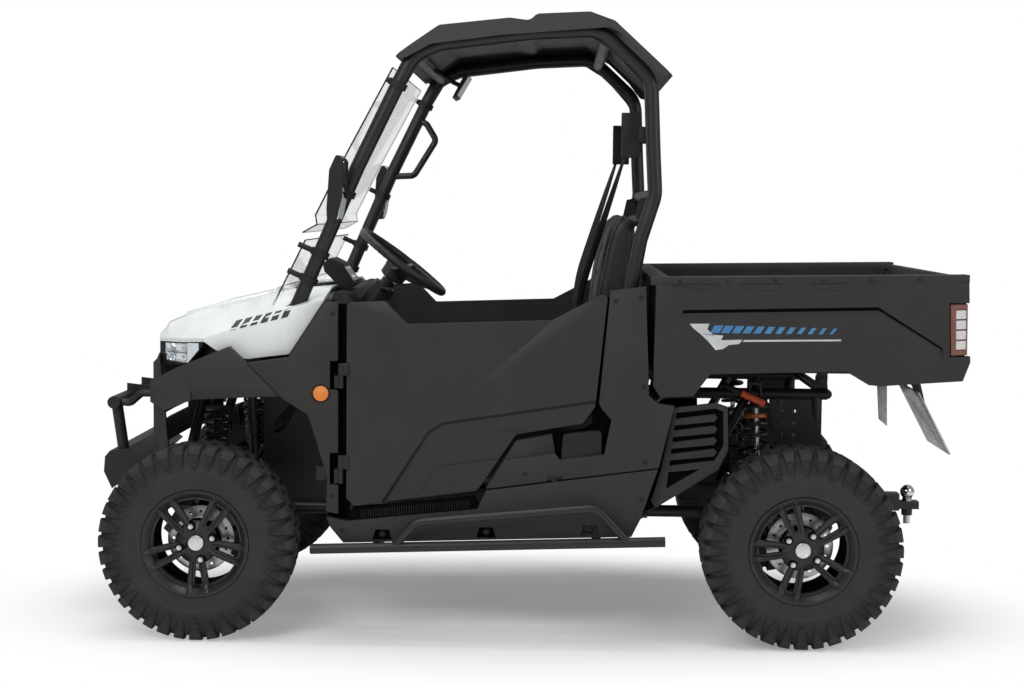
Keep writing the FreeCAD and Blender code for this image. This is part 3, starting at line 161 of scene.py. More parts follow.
# Bright brushed cap in the wheel's middle
brushed_cap = grained("brushed_aluminium", "#d6d8d9", "#e0e2e3", 0.34, 1.8, 0.03, 25.0, 0.04, METAL)
# Chrome-plated ball
chrome_plate = grained("chrome_plate", "#d3d6d8", "#dfe2e4", 0.08, 4.0, 0.01, 30.0, 0.02, METAL)
# Expanded vinyl seat cover with a leather print: pebbles about 1.5 mm, drawn at 3 mm
seat_vinyl = grained("embossed_seat_vinyl", "#1e1d1d", "#262524", 0.52, 3.0, 0.25, 80.0, extra=SATIN)
# Piping cord in a slightly lighter vinyl
piping_vinyl = grained("piping_vinyl", "#343434", "#3d3d3d", 0.42, 2.0, 0.06, 30.0)
# Polyester belt webbing, and the red acetal button of the buckle
belt_webbing = grained("polyester_webbing", "#1b1b1c", "#242425", 0.7, 1.6, 0.2)
red_button = grained("red_acetal", "#9c1f1a", "#a82a22", 0.35, 3.0, 0.02, 20.0)
# Amber acrylic marker lens
amber_lens = grained("amber_acrylic", "#db7c2c", "#e58a38", 0.22, 5.0, 0.1, 20.0, 0.02, CLEAR_COAT)
# Smoked rosy bezel of the tail lamps
tail_housing = grained("rosy_smoked_acrylic", "#744a44", "#83564e", 0.24, 5.0, 0.05, 20.0, 0.02, CLEAR_COAT)
# Frosted clear acrylic over the tail lamp's reflector: milky, with a clear coat
frosted_lens = grained("frosted_clear_acrylic", "#cdcbc9", "#dad8d6", 0.25, 3.0, 0.15, 12.0, 0.04, CLEAR_COAT)
# Extruded polycarbonate windshield, 5 mm. Its index is 1.58; it is set near that of air so that what lies behind
# the thin sheet stays straight, and the coat gives it its gloss.
polycarbonate = clear_finish("clear_polycarbonate", "#f8fafa", 1.01, 0.002, 0.35)
# Hard-coated polycarbonate lamp cover
lamp_cover = clear_finish("lamp_polycarbonate", "#f7f9fa", 1.3, 0.01, 0.2)
# Vacuum-metallised plastic of the reflectors: a near mirror with faint ripples
reflector_chrome = grained("metallised_reflector", "#cfd3d6", "#dcdfe1", 0.12, 6.0, 0.05, 30.0, 0.03, METAL)
# Silvered float glass of the mirrors
mirror_silver = grained("silvered_float_glass", "#b9bfc2", "#c2c8cb", 0.04, 12.0, 0.004, 90.0, 0.01, METAL)
# Black-passivated zinc on screws
black_zinc = grained("black_passivated_zinc", "#2b2c2d", "#37383a", 0.38, 2.0, 0.03, 20.0, 0.05, {"Metallic": 0.8})
# Cast vinyl film: flat, satin
pale_film = grained("pale_grey_vinyl_film", "#b9bcbd", "#c8cbcc", 0.34, 4.0, 0.01, 60.0, 0.03)
blue_film = grained("blue_vinyl_film", "#3f78a8", "#4a86b6", 0.34, 4.0, 0.01, 60.0, 0.03)
dark_film = grained("dark_grey_vinyl_film", "#3a3c3e", "#46484a", 0.34, 4.0, 0.01, 40.0, 0.03)
# Near-black with almost no gloss: painted shade in recesses, gaps, wheel depths and wheel houses
shade_black = grained("black_primer", "#050505", "#0a0a0a", 0.9, 3.0, 0.04, extra={"Specular IOR Level": 0.06})
# EPDM rubber trim
black_rubber_trim = grained("epdm_rubber", "#161616", "#1e1e1e", 0.55, 2.5, 0.05)
# Soft polyurethane of the steering wheel's rim, with a fine leather print
wheel_grip = grained("soft_polyurethane", "#191919", "#202020", 0.48, 2.4, 0.14, 60.0)
# Satin silver paint on plastic
satin_silver = grained("satin_silver_paint", "#a4a7a9", "#b2b5b7", 0.32, 2.2, 0.02, 30.0, 0.04, {"Metallic": 0.6})
# Hardened cover glass of the display, and the lit segments behind it
display_glass = grained("display_cover_glass", "#0b0d10", "#101317", 0.08, 8.0, 0.005, 60.0, 0.02)
display_glow = grained("lit_segments", "#bcd6de", "#cfe4ea", 0.3, 4.0, 0.01, 20.0, 0.02,
                       {"Emission Color": linear("#cfe4ea"), "Emission Strength": 0.25})
# Hard-chromed damper rod
polished_steel = grained("hard_chrome_rod", "#c9ccce", "#d5d8da", 0.14, 3.0, 0.01, 30.0, 0.03, METAL)
# Anodised orange of the rear dampers' preload collars
collar_orange = grained("orange_anodised_collar", "#a8552c", "#b86236", 0.36, 3.0, 0.03, 20.0, 0.04, {"Metallic": 0.5})
# Orange PVC sleeve on the lever
grip_orange = grained("orange_pvc", "#cf4a22", "#dc5a30", 0.42, 2.5, 0.08, 25.0)
# White powder-coated aluminium of the blank plate
plate_white = grained("white_coated_aluminium", "#c9cccd", "#d6d9da", 0.3, 2.6, 0.03, 60.0)
# Hot-dip galvanised steel: spangle about 12 mm wide
galvanised = grained("galvanised_steel", "#85878a", "#a9abad", 0.42, 5.0, 0.06, 12.0, 0.08, METAL)

# Finishes of the nodes that are shown as they are
SHOWN_NODES = {
    black_moulding: ("glass_clamps", "floor_tub"),
    powder_coat: ("main_frame", "roll_cage", "step_bars", "bull_bar", "steering_rack", "steering_column",
                  "bed_lever", "battery_pack"),
    cast_aluminium: ("drive_units",),
    e_coat: ("knuckle_front_left", "knuckle_front_right", "rear_suspension", "front_arms"),
}
for finish, names in SHOWN_NODES.items():
    for name in names:
        NODES[name].data.materials.clear()
        NODES[name].data.materials.append(finish)

# The tub's wheel houses are darker than its black plastic, as painted shade in the wheel wells; they lie ahead of this
# X, in metres
WHEEL_HOUSE_X = 0.58
tub = NODES["floor_tub"].data
tub.materials.append(shade_black)
for face in tub.polygons:
    if face.center.x > WHEEL_HOUSE_X:
        face.material_index = 1

# ---------------------------------------------------------------- tools for pieces
def baked(form, name, outward=True):
    """Mesh of a bmesh, with its faces turned outwards."""
    if outward:
        bmesh.ops.recalc_face_normals(form, faces=form.faces)
    mesh = bpy.data.meshes.new(name)
    form.to_mesh(mesh)
    form.free()
    return mesh


def settle(name, form, slot, *finishes, body="chassis", replaced=(), sharp_deg=32.0):
    """Makes a bmesh or mesh a piece of the vehicle, with its finishes, shading and body; the slot is not used."""
    mesh = baked(form, name) if isinstance(form, bmesh.types.BMesh) else form
    for finish in finishes:
        mesh.materials.append(finish)
    mesh.polygons.foreach_set("use_smooth", [True] * len(mesh.polygons))
    mesh.set_sharp_from_angle(angle=math.radians(sharp_deg))
    piece = bpy.data.objects.new(name, mesh)
    bpy.context.collection.objects.link(piece)
    if replaced:
        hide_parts(*replaced)
    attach(piece, body)
    return piece


def evaluated(mesh, name, kind, **settings):
    """Mesh after one modifier."""
    holder = bpy.data.objects.new(name, mesh)
    bpy.context.collection.objects.link(holder)
    modifier = holder.modifiers.new("form", kind)
    for setting, value in settings.items():
        setattr(modifier, setting, value)
    made = bpy.data.meshes.new_from_object(holder.evaluated_get(bpy.context.evaluated_depsgraph_get()))
    bpy.data.objects.remove(holder)
    return made


def skin(form, rings, finish=0, looped=False):
    """Joins rings of equal point counts, in mm, with faces; returns the rows of faces."""
    rows = [[form.verts.new(p * MM) for p in ring] for ring in rings]
    pairs = list(zip(rows, rows[1:])) + ([(rows[-1], rows[0])] if looped else [])
    made = [[form.faces.new((a[i], a[(i + 1) % len(a)], b[(i + 1) % len(a)], b[i])) for i in range(len(a))]
            for a, b in pairs]
    if not looped:
        made.append([form.faces.new(rows[0][::-1]), form.faces.new(rows[-1])])
    for face in sum(made, []):
        face.material_index = finish
    return made


def rectangle(half_wide, half_high):
    return [(-half_wide, -half_high), (half_wide, -half_high), (half_wide, half_high), (-half_wide, half_high)]


def octagon(cut):
    """Square from -1 to 1 with its corners cut."""
    return [(-1, -cut), (-cut, -1), (cut, -1), (1, -cut), (1, cut), (cut, 1), (-cut, 1), (-1, cut)]


def block(form, middle, axes, outline, levels, finish=0):
    """Closed block on an outline in the plane of two axes; levels hold height along the third and scale."""
    one, two, rise = axes
    skin(form, [[middle + one * a * scale + two * b * scale + rise * height for a, b in outline]
                for height, scale in levels], finish)


def circle(centre, one, two, radius, sides):
    """Points round a centre in the plane of two directions."""
    return [centre + (one * math.cos(t) + two * math.sin(t)) * radius
            for t in (math.tau * k / sides for k in range(sides))]


def turned(form, middle, axes, rows, sides, finish=0, looped=False):
    """Turned form; rows hold a radius and the distance along the third axis."""
    one, two, along = axes
    skin(form, [circle(middle + along * distance, one, two, radius, sides) for radius, distance in rows], finish,
         looped)


def bar(form, path, radius, sides=12):
    """Round bar along points in mm, with one radius or one for each point."""
    rings, side = [], None
    for i, point in enumerate(path):
        run = (path[min(i + 1, len(path) - 1)] - path[max(i - 1, 0)]).normalized()
        side = run.orthogonal().normalized() if side is None else side
        side = (side - run * side.dot(run)).normalized()
        size = radius[i] if isinstance(radius, list) else radius
        rings.append(circle(point, side, run.cross(side), size, sides))
    skin(form, rings)


def arc_path(points, radius, steps=6):
    """Straight runs through the points with each corner rounded."""
    out = [points[0]]
    for back, corner, ahead in zip(points, points[1:], points[2:]):
        one, two = back - corner, ahead - corner
        reach = min(radius, 0.45 * one.length, 0.45 * two.length)
        start, stop = corner + one.normalized() * reach, corner + two.normalized() * reach
        out += [start.lerp(corner, t).lerp(corner.lerp(stop, t), t) for t in (k / steps for k in range(steps + 1))]
    return out + [points[-1]]


def bevelled(form, edges, width_mm, segments):
    bmesh.ops.bevel(form, geom=edges, offset=width_mm * MM, offset_type="OFFSET", segments=segments, profile=0.5,
                    affect="EDGES", clamp_overlap=True)


BEND_LENGTH = 400.0                      # shortest bend that is made a curve
BEND_LEAST, BEND_MOST = math.radians(6.0), math.radians(65.0)
SHARP_EDGE, FLAT_EDGE = math.radians(24.0), math.radians(0.6)
SAME_POINT = 0.02


def shallow_bend(edge, width_mm):
    """Whether an edge is a long shallow bend between faces wide enough to curve."""
    length = edge.calc_length()
    return (edge.is_manifold and length > BEND_LENGTH * MM and BEND_LEAST < edge.calc_face_angle(0.0) < BEND_MOST
            and all(face.calc_area() / length > 2.3 * width_mm * MM for face in edge.link_faces))


def eased(node, width_mm, slot, *finishes, pick=None, segments=2, shade_deg=40.0, bend_mm=0.0):
    """Copy of a node's form with its edges rounded as moulded or pressed; it stands for the node.

    pick gives the number of the finish for each face, from the list of its corners in mm; a face with None is
    taken out and its hole closed, for a part that is made anew.
    """
    form = bmesh.new()
    form.from_mesh(NODES[node].data)
    bmesh.ops.remove_doubles(form, verts=form.verts, dist=SAME_POINT * MM)
    bmesh.ops.dissolve_limit(form, angle_limit=FLAT_EDGE, verts=form.verts, edges=form.edges)
    if pick:
        picks = [(face, pick([v.co / MM for v in face.verts])) for face in form.faces]
        for face, number in picks:
            face.material_index = number or 0
        gone = [face for face, number in picks if number is None]
        if gone:
            bmesh.ops.delete(form, geom=gone, context="FACES")
            bmesh.ops.holes_fill(form, edges=[e for e in form.edges if e.is_boundary], sides=0)
    if bend_mm:
        bevelled(form, [e for e in form.edges if shallow_bend(e, bend_mm)], bend_mm, 4)
    bevelled(form, [e for e in form.edges if e.is_manifold and e.calc_face_angle(0.0) > SHARP_EDGE
                    and e.calc_length() > 2.2 * width_mm * MM], width_mm, segments)
    return settle(node + "_form", baked(form, node, False), slot, *finishes, body=BODY_OF[node], replaced=(node,),
                  sharp_deg=shade_deg)


def fastener_tree():
    """Geometry Nodes: a flanged head on each point, its axis along the point's aim attribute."""
    tree = bpy.data.node_groups.new("flanged_heads", "GeometryNodeTree")
    for name, way, kind in (("Geometry", "INPUT", "Geometry"), ("Across", "INPUT", "Float"),
                            ("Height", "INPUT", "Float"), ("Sides", "INPUT", "Int"), ("Flange", "INPUT", "Float"),
                            ("Finish", "INPUT", "Material"), ("Geometry", "OUTPUT", "Geometry")):
        tree.interface.new_socket(name, in_out=way, socket_type="NodeSocket" + kind)
    given = add(tree, "NodeGroupInput").outputs
    # Radius at the head's foot, at its top and at the flange's edge, and the flange's thickness
    radius = add(tree, "ShaderNodeMath", {0: given["Across"], 1: 0.5}, operation="MULTIPLY").outputs[0]
    top, rim, thin = [add(tree, "ShaderNodeMath", {0: a, 1: b}, operation="MULTIPLY").outputs[0]
                      for a, b in ((radius, 0.88), (radius, given["Flange"]), (given["Height"], 0.3))]
    head = add(tree, "GeometryNodeMeshCone", {"Vertices": given["Sides"], "Radius Top": top, "Radius Bottom": radius,
                                              "Depth": given["Height"]}, fill_type="NGON")
    flange = add(tree, "GeometryNodeMeshCone", {"Vertices": 16, "Radius Top": radius, "Radius Bottom": rim,
                                                "Depth": thin}, fill_type="NGON")
    both = add(tree, "GeometryNodeJoinGeometry")
    for part in (head, flange):
        tree.links.new(part.outputs["Mesh"], both.inputs[0])
    aim = add(tree, "GeometryNodeInputNamedAttribute", {"Name": "aim"}, data_type="FLOAT_VECTOR")
    turn = add(tree, "FunctionNodeAlignRotationToVector", {"Vector": aim.outputs["Attribute"]}, axis="Z")
    put = add(tree, "GeometryNodeInstanceOnPoints",
              {"Points": given["Geometry"], "Instance": both.outputs[0], "Rotation": turn.outputs[0]})
    real = add(tree, "GeometryNodeRealizeInstances", {"Geometry": put.outputs[0]})
    coat = add(tree, "GeometryNodeSetMaterial", {"Geometry": real.outputs[0], "Material": given["Finish"]})
    add(tree, "NodeGroupOutput", {"Geometry": coat.outputs[0]})
    return tree


FLANGED_HEADS = fastener_tree()


def fasteners(name, slot, finish, spots, across_mm, height_mm, sides=6, flange=1.25, body="chassis"):
    """One piece of flanged heads; spots are pairs of a place in mm and the way the head faces."""
    mesh = bpy.data.meshes.new(name + "_spots")
    mesh.from_pydata([tuple(place * MM) for place, aim in spots], [], [])
    values = mesh.attributes.new("aim", "FLOAT_VECTOR", "POINT")
    for i, (place, aim) in enumerate(spots):
        values.data[i].vector = aim
    holder = bpy.data.objects.new(name + "_holder", mesh)
    bpy.context.collection.objects.link(holder)
    modifier = holder.modifiers.new("heads", "NODES")
    modifier.node_group = FLANGED_HEADS
    sizes = {"Across": across_mm * MM, "Height": height_mm * MM, "Sides": sides, "Flange": flange,
             "Finish": finish}
    for item in FLANGED_HEADS.interface.items_tree:
        if item.in_out == "INPUT" and item.name in sizes:
            modifier[item.identifier] = sizes[item.name]
    made = bpy.data.meshes.new_from_object(holder.evaluated_get(bpy.context.evaluated_depsgraph_get()))
    bpy.data.objects.remove(holder)
    made.materials.clear()
    return settle(name, made, slot, finish, body=body, sharp_deg=30.0)


# ---------------------------------------------------------------- wheels
# By end: middle plane, half width, tip radius, bead's half width and radius, wheel face from the middle,
# turn of the first spoke and of the first nut; all in mm and degrees
WHEELS = {
    "front": dict(mid=646.0, half=100.0, tip=314.8, bead=80.0, seat=153.2, face=70.0, spoke=39.0, nut=73.5),
    "rear": dict(mid=625.0, half=125.0, tip=318.8, bead=100.0, seat=153.2, face=90.0, spoke=19.0, nut=34.0),
}
LUG_STEP = 10.0                          # degrees from one shoulder lug to the next
CARCASS_STEPS = 72


def axle_of(end, side, sign):
    """Centre of a wheel in mm, from its tyre's box."""
    low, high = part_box("tyre_%s_%s" % (end, side))
    return Vector(((low.x + high.x) / 2 / MM, sign * WHEELS[end]["mid"], low.z / MM + WHEELS[end]["tip"]))


def on_wheel(centre, sign, along, radius, degrees):
    """Place given along the axle, outwards from it and round it from the bottom, in mm and degrees."""
    turn = math.radians(degrees)
    return centre + Vector((radius * math.sin(turn), sign * along, -radius * math.cos(turn)))


def carcass_profile(wheel):
    half, tip, bead, seat = wheel["half"], wheel["tip"], wheel["bead"], wheel["seat"]
    outer = [(bead, seat), (bead + 7, seat + 4), (bead + 10.5, seat + 11), (bead + 9.5, seat + 18),
             (bead + 12.6, seat + 21), (bead + 12.6, seat + 24), (half - 6.6, 194), (half - 4.2, 210),
             (half - 3.4, 221), (half - 2.4, 223), (half - 2.4, 225), (half - 3.8, 227), (half - 6.0, 240),
             (half - 9.5, 252), (half - 12.0, 268), (half - 16.0, tip - 27), (0.76 * half, tip - 16.5),
             (0.56 * half, tip - 12.5), (0.34 * half, tip - 12.0)]
    return [(-a, r) for a, r in outer] + [(0.0, tip - 12.0)] + outer[::-1]


# Shoulder lug by station: top's distance in from the half width and below the tip, base's the same,
# and half the lug's angle, for the square-ended and the tapered lug; a radius over 100 is absolute
LUG_STATIONS = ((0.60, 0.6, 0.60, 16.0, 3.5, 3.3), (0.40, 1.2, 0.40, 20.0, 4.1, 3.8),
                (0.15, 3.6, 0.26, 30.0, 4.2, 3.5), (0.058, 11.0, 0.22, 38.0, 3.9, 3.2),
                (0.010, 26.0, 0.20, 44.0, 3.4, 3.0), (0.0, 266.0, 0.16, 264.0, 2.9, 2.3),
                (0.004, 251.0, 0.12, 250.0, 2.4, 1.5), (0.032, 238.0, 0.075, 236.0, 1.6, 0.6))
# Centre block's outline: degrees and share of the half width; then its scale and depth below the tip
CENTRE_BLOCK = [(-4.3, -0.02), (-2.4, -0.21), (3.4, -0.16), (4.3, 0.02), (2.4, 0.21), (-3.4, 0.16)]
BLOCK_LEVELS = ((1.08, 13.0), (1.0, 1.2), (0.9, 0.0))


def add_lug(form, centre, sign, wheel, outer, degrees, square):
    """One shoulder lug over the tyre's edge; returns the faces that hold its dimple."""
    half, tip = wheel["half"], wheel["tip"]
    rings = []
    for top_in, top_down, base_in, base_down, wide, narrow in LUG_STATIONS:
        width = wide if square else narrow
        top, base = [(outer * half * (1 - inward), down if down > 100 else tip - down)
                     for inward, down in ((top_in, top_down), (base_in, base_down))]
        rings.append([on_wheel(centre, sign, *spot, degrees + turn)
                      for spot, turn in ((base, -width - 0.25), (top, 0.45 - width), (top, width - 0.45),
                                         (base, width + 0.25))])
    rows = skin(form, rings)
    return [row[1] for row in rows[4:7 if square else 6]]


def tyre_piece(end, side, sign):
    wheel, centre, node = WHEELS[end], axle_of(end, side, sign), "tyre_%s_%s" % (end, side)
    form = bmesh.new()
    skin(form, [[on_wheel(centre, sign, a, r, 360.0 * k / CARCASS_STEPS) for a, r in carcass_profile(wheel)]
                for k in range(CARCASS_STEPS)], looped=True)
    dimples = []
    for k in range(int(360 / LUG_STEP)):
        for outer in (1, -1):
            dimples += add_lug(form, centre, sign, wheel, outer, k * LUG_STEP, (k % 2 == 0) == (outer > 0))
        shift = 0.13 * (1 if k % 2 else -1)
        skin(form, [[on_wheel(centre, sign, (shift + scale * b) * wheel["half"], wheel["tip"] - depth,
                              (k + 0.5) * LUG_STEP + scale * d) for d, b in CENTRE_BLOCK]
                    for scale, depth in BLOCK_LEVELS])
    bmesh.ops.recalc_face_normals(form, faces=form.faces)
    bmesh.ops.inset_individual(form, faces=dimples, thickness=5.5 * MM, depth=-5.0 * MM, use_even_offset=True)
    settle("tread_%s_%s" % (end, side), form, "tyre_rubber", tyre_rubber, body=BODY_OF[node], replaced=(node,),
           sharp_deg=30.0)


# Outer bar and inner rib of a half spoke, by station: distance out, middle, half width, height over the face.
# The outer bar climbs the lip of the rim.
SPOKE_CRESTS = (
    ((43.0, 14.5, 4.5, 0.8), (60.0, 18.5, 5.4, 5.5), (77.0, 21.0, 5.8, 7.6), (100.0, 23.8, 6.6, 8.6),
     (122.0, 26.0, 7.4, 9.0), (138.0, 26.8, 8.0, 11.0), (149.0, 27.0, 8.4, 19.5), (157.0, 27.0, 8.4, 27.6),
     (161.0, 27.0, 8.0, 28.2)),
    ((50.0, 6.6, 2.6, 0.9), (64.0, 8.4, 3.0, 4.0), (80.0, 9.8, 3.3, 5.0), (102.0, 13.0, 3.5, 5.2),
     (124.0, 15.2, 3.5, 4.4), (142.0, 14.5, 3.0, 1.0)),
)
# Profiles by radius and height: cap, nut's seat, and the two steps round the barrel's wall
CAP = [(24.5, 5.0), (24.5, 9.0), (23.0, 10.4), (18.5, 10.8), (17.5, 10.0), (3.0, 10.6), (0.4, 10.6)]
NUT_SEAT = [(13.5, -14.0), (13.5, -1.6), (12.4, 0.0), (10.6, 0.0), (10.0, -2.5)]
BARREL_STEPS = [[(148.2, -8.0), (139.5, -7.0), (139.5, -1.0), (148.2, 1.0)],
                [(148.2, -33.0), (142.0, -32.0), (142.0, -26.0), (148.2, -24.0)]]
NUT_CIRCLE = 55.0


def rim_piece(end, side, sign):
    """The wheel with eased edges, crests along its spokes, a silver cap, nuts and the bare disc."""
    wheel, centre, tail = WHEELS[end], axle_of(end, side, sign), "_%s_%s" % (end, side)
    body = BODY_OF["rim" + tail]
    axes = (-UP, FORWARD, LEFT * sign)
    face = centre + LEFT * sign * wheel["face"]

    def part_of(corners):
        """Painted wheel, bare disc, or painted shade: black on the barrel's wall, the depths and the faces under the
        spokes' crests.
        """
        height = [sign * (p.y - face.y) for p in corners]
        out = [(p - centre).xz.length for p in corners]
        if max(out) < 115.0 and max(height) < -59.9:
            return 1
        wall = min(out) > 145.0 and max(out) < 148.5
        spoke_face = min(out) > 46.0 and min(height) > -0.5 and max(height) < 0.5
        return 2 if wall or spoke_face or max(height) < -12.0 else 0

    eased("rim" + tail, 1.6, "black_alloy", wheel_paint, ground_steel, shade_black, pick=part_of)
    form = bmesh.new()
    for k in range(5):
        turn = 180.0 - (72.0 * k + wheel["spoke"])
        for half_gap in (-1, 1):
            for crest in SPOKE_CRESTS:
                rings = []
                for out, across, wide, tall in crest:
                    floor = min(-9.0, tall - 20.0)
                    outline = ((-wide, floor), (-wide, tall - 2.4), (-0.6 * wide, tall), (0.4 * wide, tall),
                               (wide, tall - 1.6), (wide, floor))
                    spots = [(half_gap * (across - shift), height) for shift, height in outline]
                    rings.append([on_wheel(centre, sign, wheel["face"] + height, math.hypot(x, out),
                                           turn + math.degrees(math.atan2(x, out))) for x, height in spots])
                skin(form, rings)
    for rows in BARREL_STEPS:
        turned(form, face, axes, rows, 90, looped=True)
    settle("spoke_crests" + tail, form, "black_alloy", wheel_paint, body=body)
    form = bmesh.new()
    turned(form, face, axes, CAP, 40)
    settle("wheel_cap" + tail, form, "black_alloy", brushed_cap, body=body)
    # Seats round the nuts, near-black as painted shade in their recesses
    form = bmesh.new()
    turns = [math.radians(90 * k + wheel["nut"]) for k in range(4)]
    spots = [face + LEFT * sign * 5.5 + (FORWARD * math.cos(t) + UP * math.sin(t)) * NUT_CIRCLE for t in turns]
    for spot in spots:
        turned(form, spot, (FORWARD, UP, LEFT * sign), NUT_SEAT, 24)
    settle("nut_seats" + tail, form, "black_alloy", shade_black, body=body)
    fasteners("wheel_nuts" + tail, "black_alloy", zinc_plate, [(spot, (0.0, sign, 0.0)) for spot in spots], 17.0,
              12.0, 6, 1.15, body)


for end in WHEELS:
    for side, sign in SIDES:
        tyre_piece(end, side, sign)
        rim_piece(end, side, sign)


# ---------------------------------------------------------------- bodywork with moulded edges
def panel_part(corners):
    """Recessed tread strips and the backing of louvres are black as painted shade."""
    return int(all(abs(p.y) < 646.6 or (abs(p.y) < 688.4 and p.z < 490 and p.x > -200) for p in corners))


def door_part(corners):
    """The hinge's blocks are painted black; the ledge over the lower part is black plastic as painted shade."""
    depth = [abs(p.y) for p in corners]
    if min(depth) > 691 and min(p.x for p in corners) > 537:
        return 1
    return 2 if 689.3 < min(depth) < 691.5 and max(depth) > 698 else 0


def latch_part(corners):
    """Black behind the latch's opening as painted shade, and its dark grip."""
    depth = max(abs(p.y) for p in corners)
    grip = depth < 686.6 and all(-264 < p.x < -130 and 580 < p.z < 690 for p in corners)
    return 1 if depth < 652.6 else 2 if grip else 0


def bed_part(corners):
    """The floor of the long groove is black as painted shade."""
    return int(all(681.2 < abs(p.y) < 682.8 and p.z > 940 for p in corners))


# By record slot and finish: the nodes with the radius of their edges in mm
MOULDED = {
    ("grey_panel", charcoal_moulding): dict(
        door_left=2.6, door_right=2.6, front_side_panels=2.6, rear_side_panels=2.4, rocker_panels=2.2,
        front_fenders=3.0, front_fascia=2.4, bed_side_panels=2.4, tailgate=2.4, louvre_panels=1.2, cargo_bed=2.4),
    ("black_plastic", black_moulding): dict(dashboard=4.0, mirrors=2.4),
    ("white_panel", white_panel): dict(hood=1.6, hood_sides=1.6),
}
# Nodes of more than one finish: what picks a face's finish, and the further finishes
PARTED = {"door_left": (door_part, powder_coat, black_moulding),
          "door_right": (door_part, powder_coat, black_moulding),
          "louvre_panels": (panel_part, shade_black), "rocker_panels": (panel_part, shade_black),
          "rear_side_panels": (latch_part, shade_black, black_moulding), "bed_side_panels": (bed_part, shade_black)}
for (slot, finish), nodes in MOULDED.items():
    for node, width_mm in nodes.items():
        pick, *further = PARTED.get(node, (None,))
        eased(node, width_mm, slot, finish, *further, pick=pick)
eased("roof", 4.0, "roof_plastic", roof_moulding, bend_mm=38.0)

# Rubber seal and closing strips behind the gaps at the doors' edges and at the sill's rear end, near-black as painted
# shade in the gaps: outlines in X and Z, and how far out each lies
CLOSING_STRIPS = (
    ([(610, 388), (560, 384), (540, 404), (540, 440), (540, 1080), (618, 1076), (622, 720)], 652.0),
    ([(-235, 700), (-300, 745), (-302, 1112), (-250, 1108), (-226, 780)], 652.0),
    ([(-366, 405), (-440, 440), (-470, 560), (-500, 620), (-478, 706), (-430, 700), (-366, 600)], 633.0),
)
form = bmesh.new()
for side, sign in SIDES:
    for outline, y in CLOSING_STRIPS:
        skin(form, [[Vector((x, sign * (y + thick), z)) for x, z in outline] for thick in (0.0, 6.0)])
    bar(form, [Vector((558, sign * 660.5, z)) for z in (452, 1074)], 5.0, 10)
settle("door_seals", form, "black_plastic", shade_black)


def bolt_spots(places, y):
    """Places on both outer sides, with the heads facing out."""
    return [(Vector((x, sign * y, z)), (0.0, sign, 0.0)) for x, z in places for side, sign in SIDES]


# Bolts in the pockets of sill and side panel
fasteners("sill_bolts", "grey_panel", black_zinc,
          bolt_spots([(432, 345), (101, 357), (-229, 369), (-116, 525)], 687.0), 15.0, 6.0, 6, 1.5)
# Push rivets along the panels' edges and the sill's top
fasteners("panel_rivets", "grey_panel", black_moulding,
          bolt_spots([(592, 1050), (592, 470), (-300, 1100), (-380, 1112), (-392, 830), (-400, 590), (-20, 548),
                      (560, 360), (-390, 470)], 700.0), 13.0, 2.4, 12, 1.2)
# Screws along the bed's rim, which falls a little to the rear
rim_places = [(x, 1162.0 - 0.0181 * (x + 411.0)) for x in range(-500, -1400, -150)]
fasteners("bed_rim_screws", "grey_panel", black_zinc, bolt_spots(rim_places, 690.2), 10.0, 2.2, 6, 1.3,
          "cargo_bed")

# ---------------------------------------------------------------- printed films
SURFACES = {}


def over_surface(nodes, x, z, sign):
    """Y of the outer surface at a place on a side, found from outside, in mm."""
    found = []
    for node in nodes:
        if node not in SURFACES:
            shape = bmesh.new()
            shape.from_mesh(NODES[node].data)
            SURFACES[node] = BVHTree.FromBMesh(shape)
            shape.free()
        spot = SURFACES[node].ray_cast(Vector((x * MM, 2.0 * sign, z * MM)), Vector((0.0, -sign, 0.0)))[0]
        if spot is not None:
            found.append(spot.y / MM)
    return max(found, key=lambda y: sign * y)


def sticker(name, shapes, nodes, slot, finish, sign, lift=0.35, body="chassis"):
    """Thin printed film on a side; shapes are four corners each, in X and Z, and follow the surface."""
    form = bmesh.new()
    across, down = 10, 4
    for shape in shapes:
        a, b, c, d = [Vector((x, 0.0, z)) for x, z in shape]
        rings = []
        for i in range(across + 1):
            spots = [a.lerp(b, i / across).lerp(d.lerp(c, i / across), j / down) for j in range(down + 1)]
            low, high = [[Vector((p.x, over_surface(nodes, p.x, p.z, sign) + sign * rise, p.z)) for p in spots]
                         for rise in (0.05, lift)]
            rings.append(low + high[::-1])
        skin(form, rings)
    settle(name, form, slot, finish, body=body)


# Torn grey-white flash with its underline, then slanted blue bars that get narrower to the rear
FLASH = [[(-533, 1030), (-596, 1031), (-588, 1012), (-548, 1014)],
         [(-548, 1014), (-590, 1013), (-612, 992), (-566, 1000)],
         [(-566, 1000), (-640, 994), (-632, 978), (-590, 978)],
         [(-590, 978), (-700, 982), (-690, 968), (-606, 960)],
         [(-606, 960), (-660, 966), (-640, 952), (-616, 948)],
         [(-706, 981), (-1010, 986), (-1008, 981), (-700, 975)]]
BARS = [[(x, 1026 - 0.5 * k), (x - 28 + 1.6 * k, 1026 - 0.5 * k), (x - 14 + 1.6 * k, 1002), (x + 14, 1002)]
        for k, x in enumerate(range(-612, -1020, -34))]
SLASHES = [[(x + dx, 8.2 * k + z) for dx, z in ((0, 1018), (-22, 1024), (-9, 994), (13, 988))]
           for k, x in enumerate(range(914, 716, -33))]
for side, sign in SIDES:
    sticker("bed_flash_" + side, FLASH, ("bed_side_panels",), "grey_panel", pale_film, sign, body="cargo_bed")
    sticker("bed_bars_" + side, BARS, ("bed_side_panels",), "grey_panel", blue_film, sign, body="cargo_bed")
    sticker("hood_slashes_" + side, SLASHES, ("hood_sides", "hood"), "white_panel", dark_film, sign, 0.9)


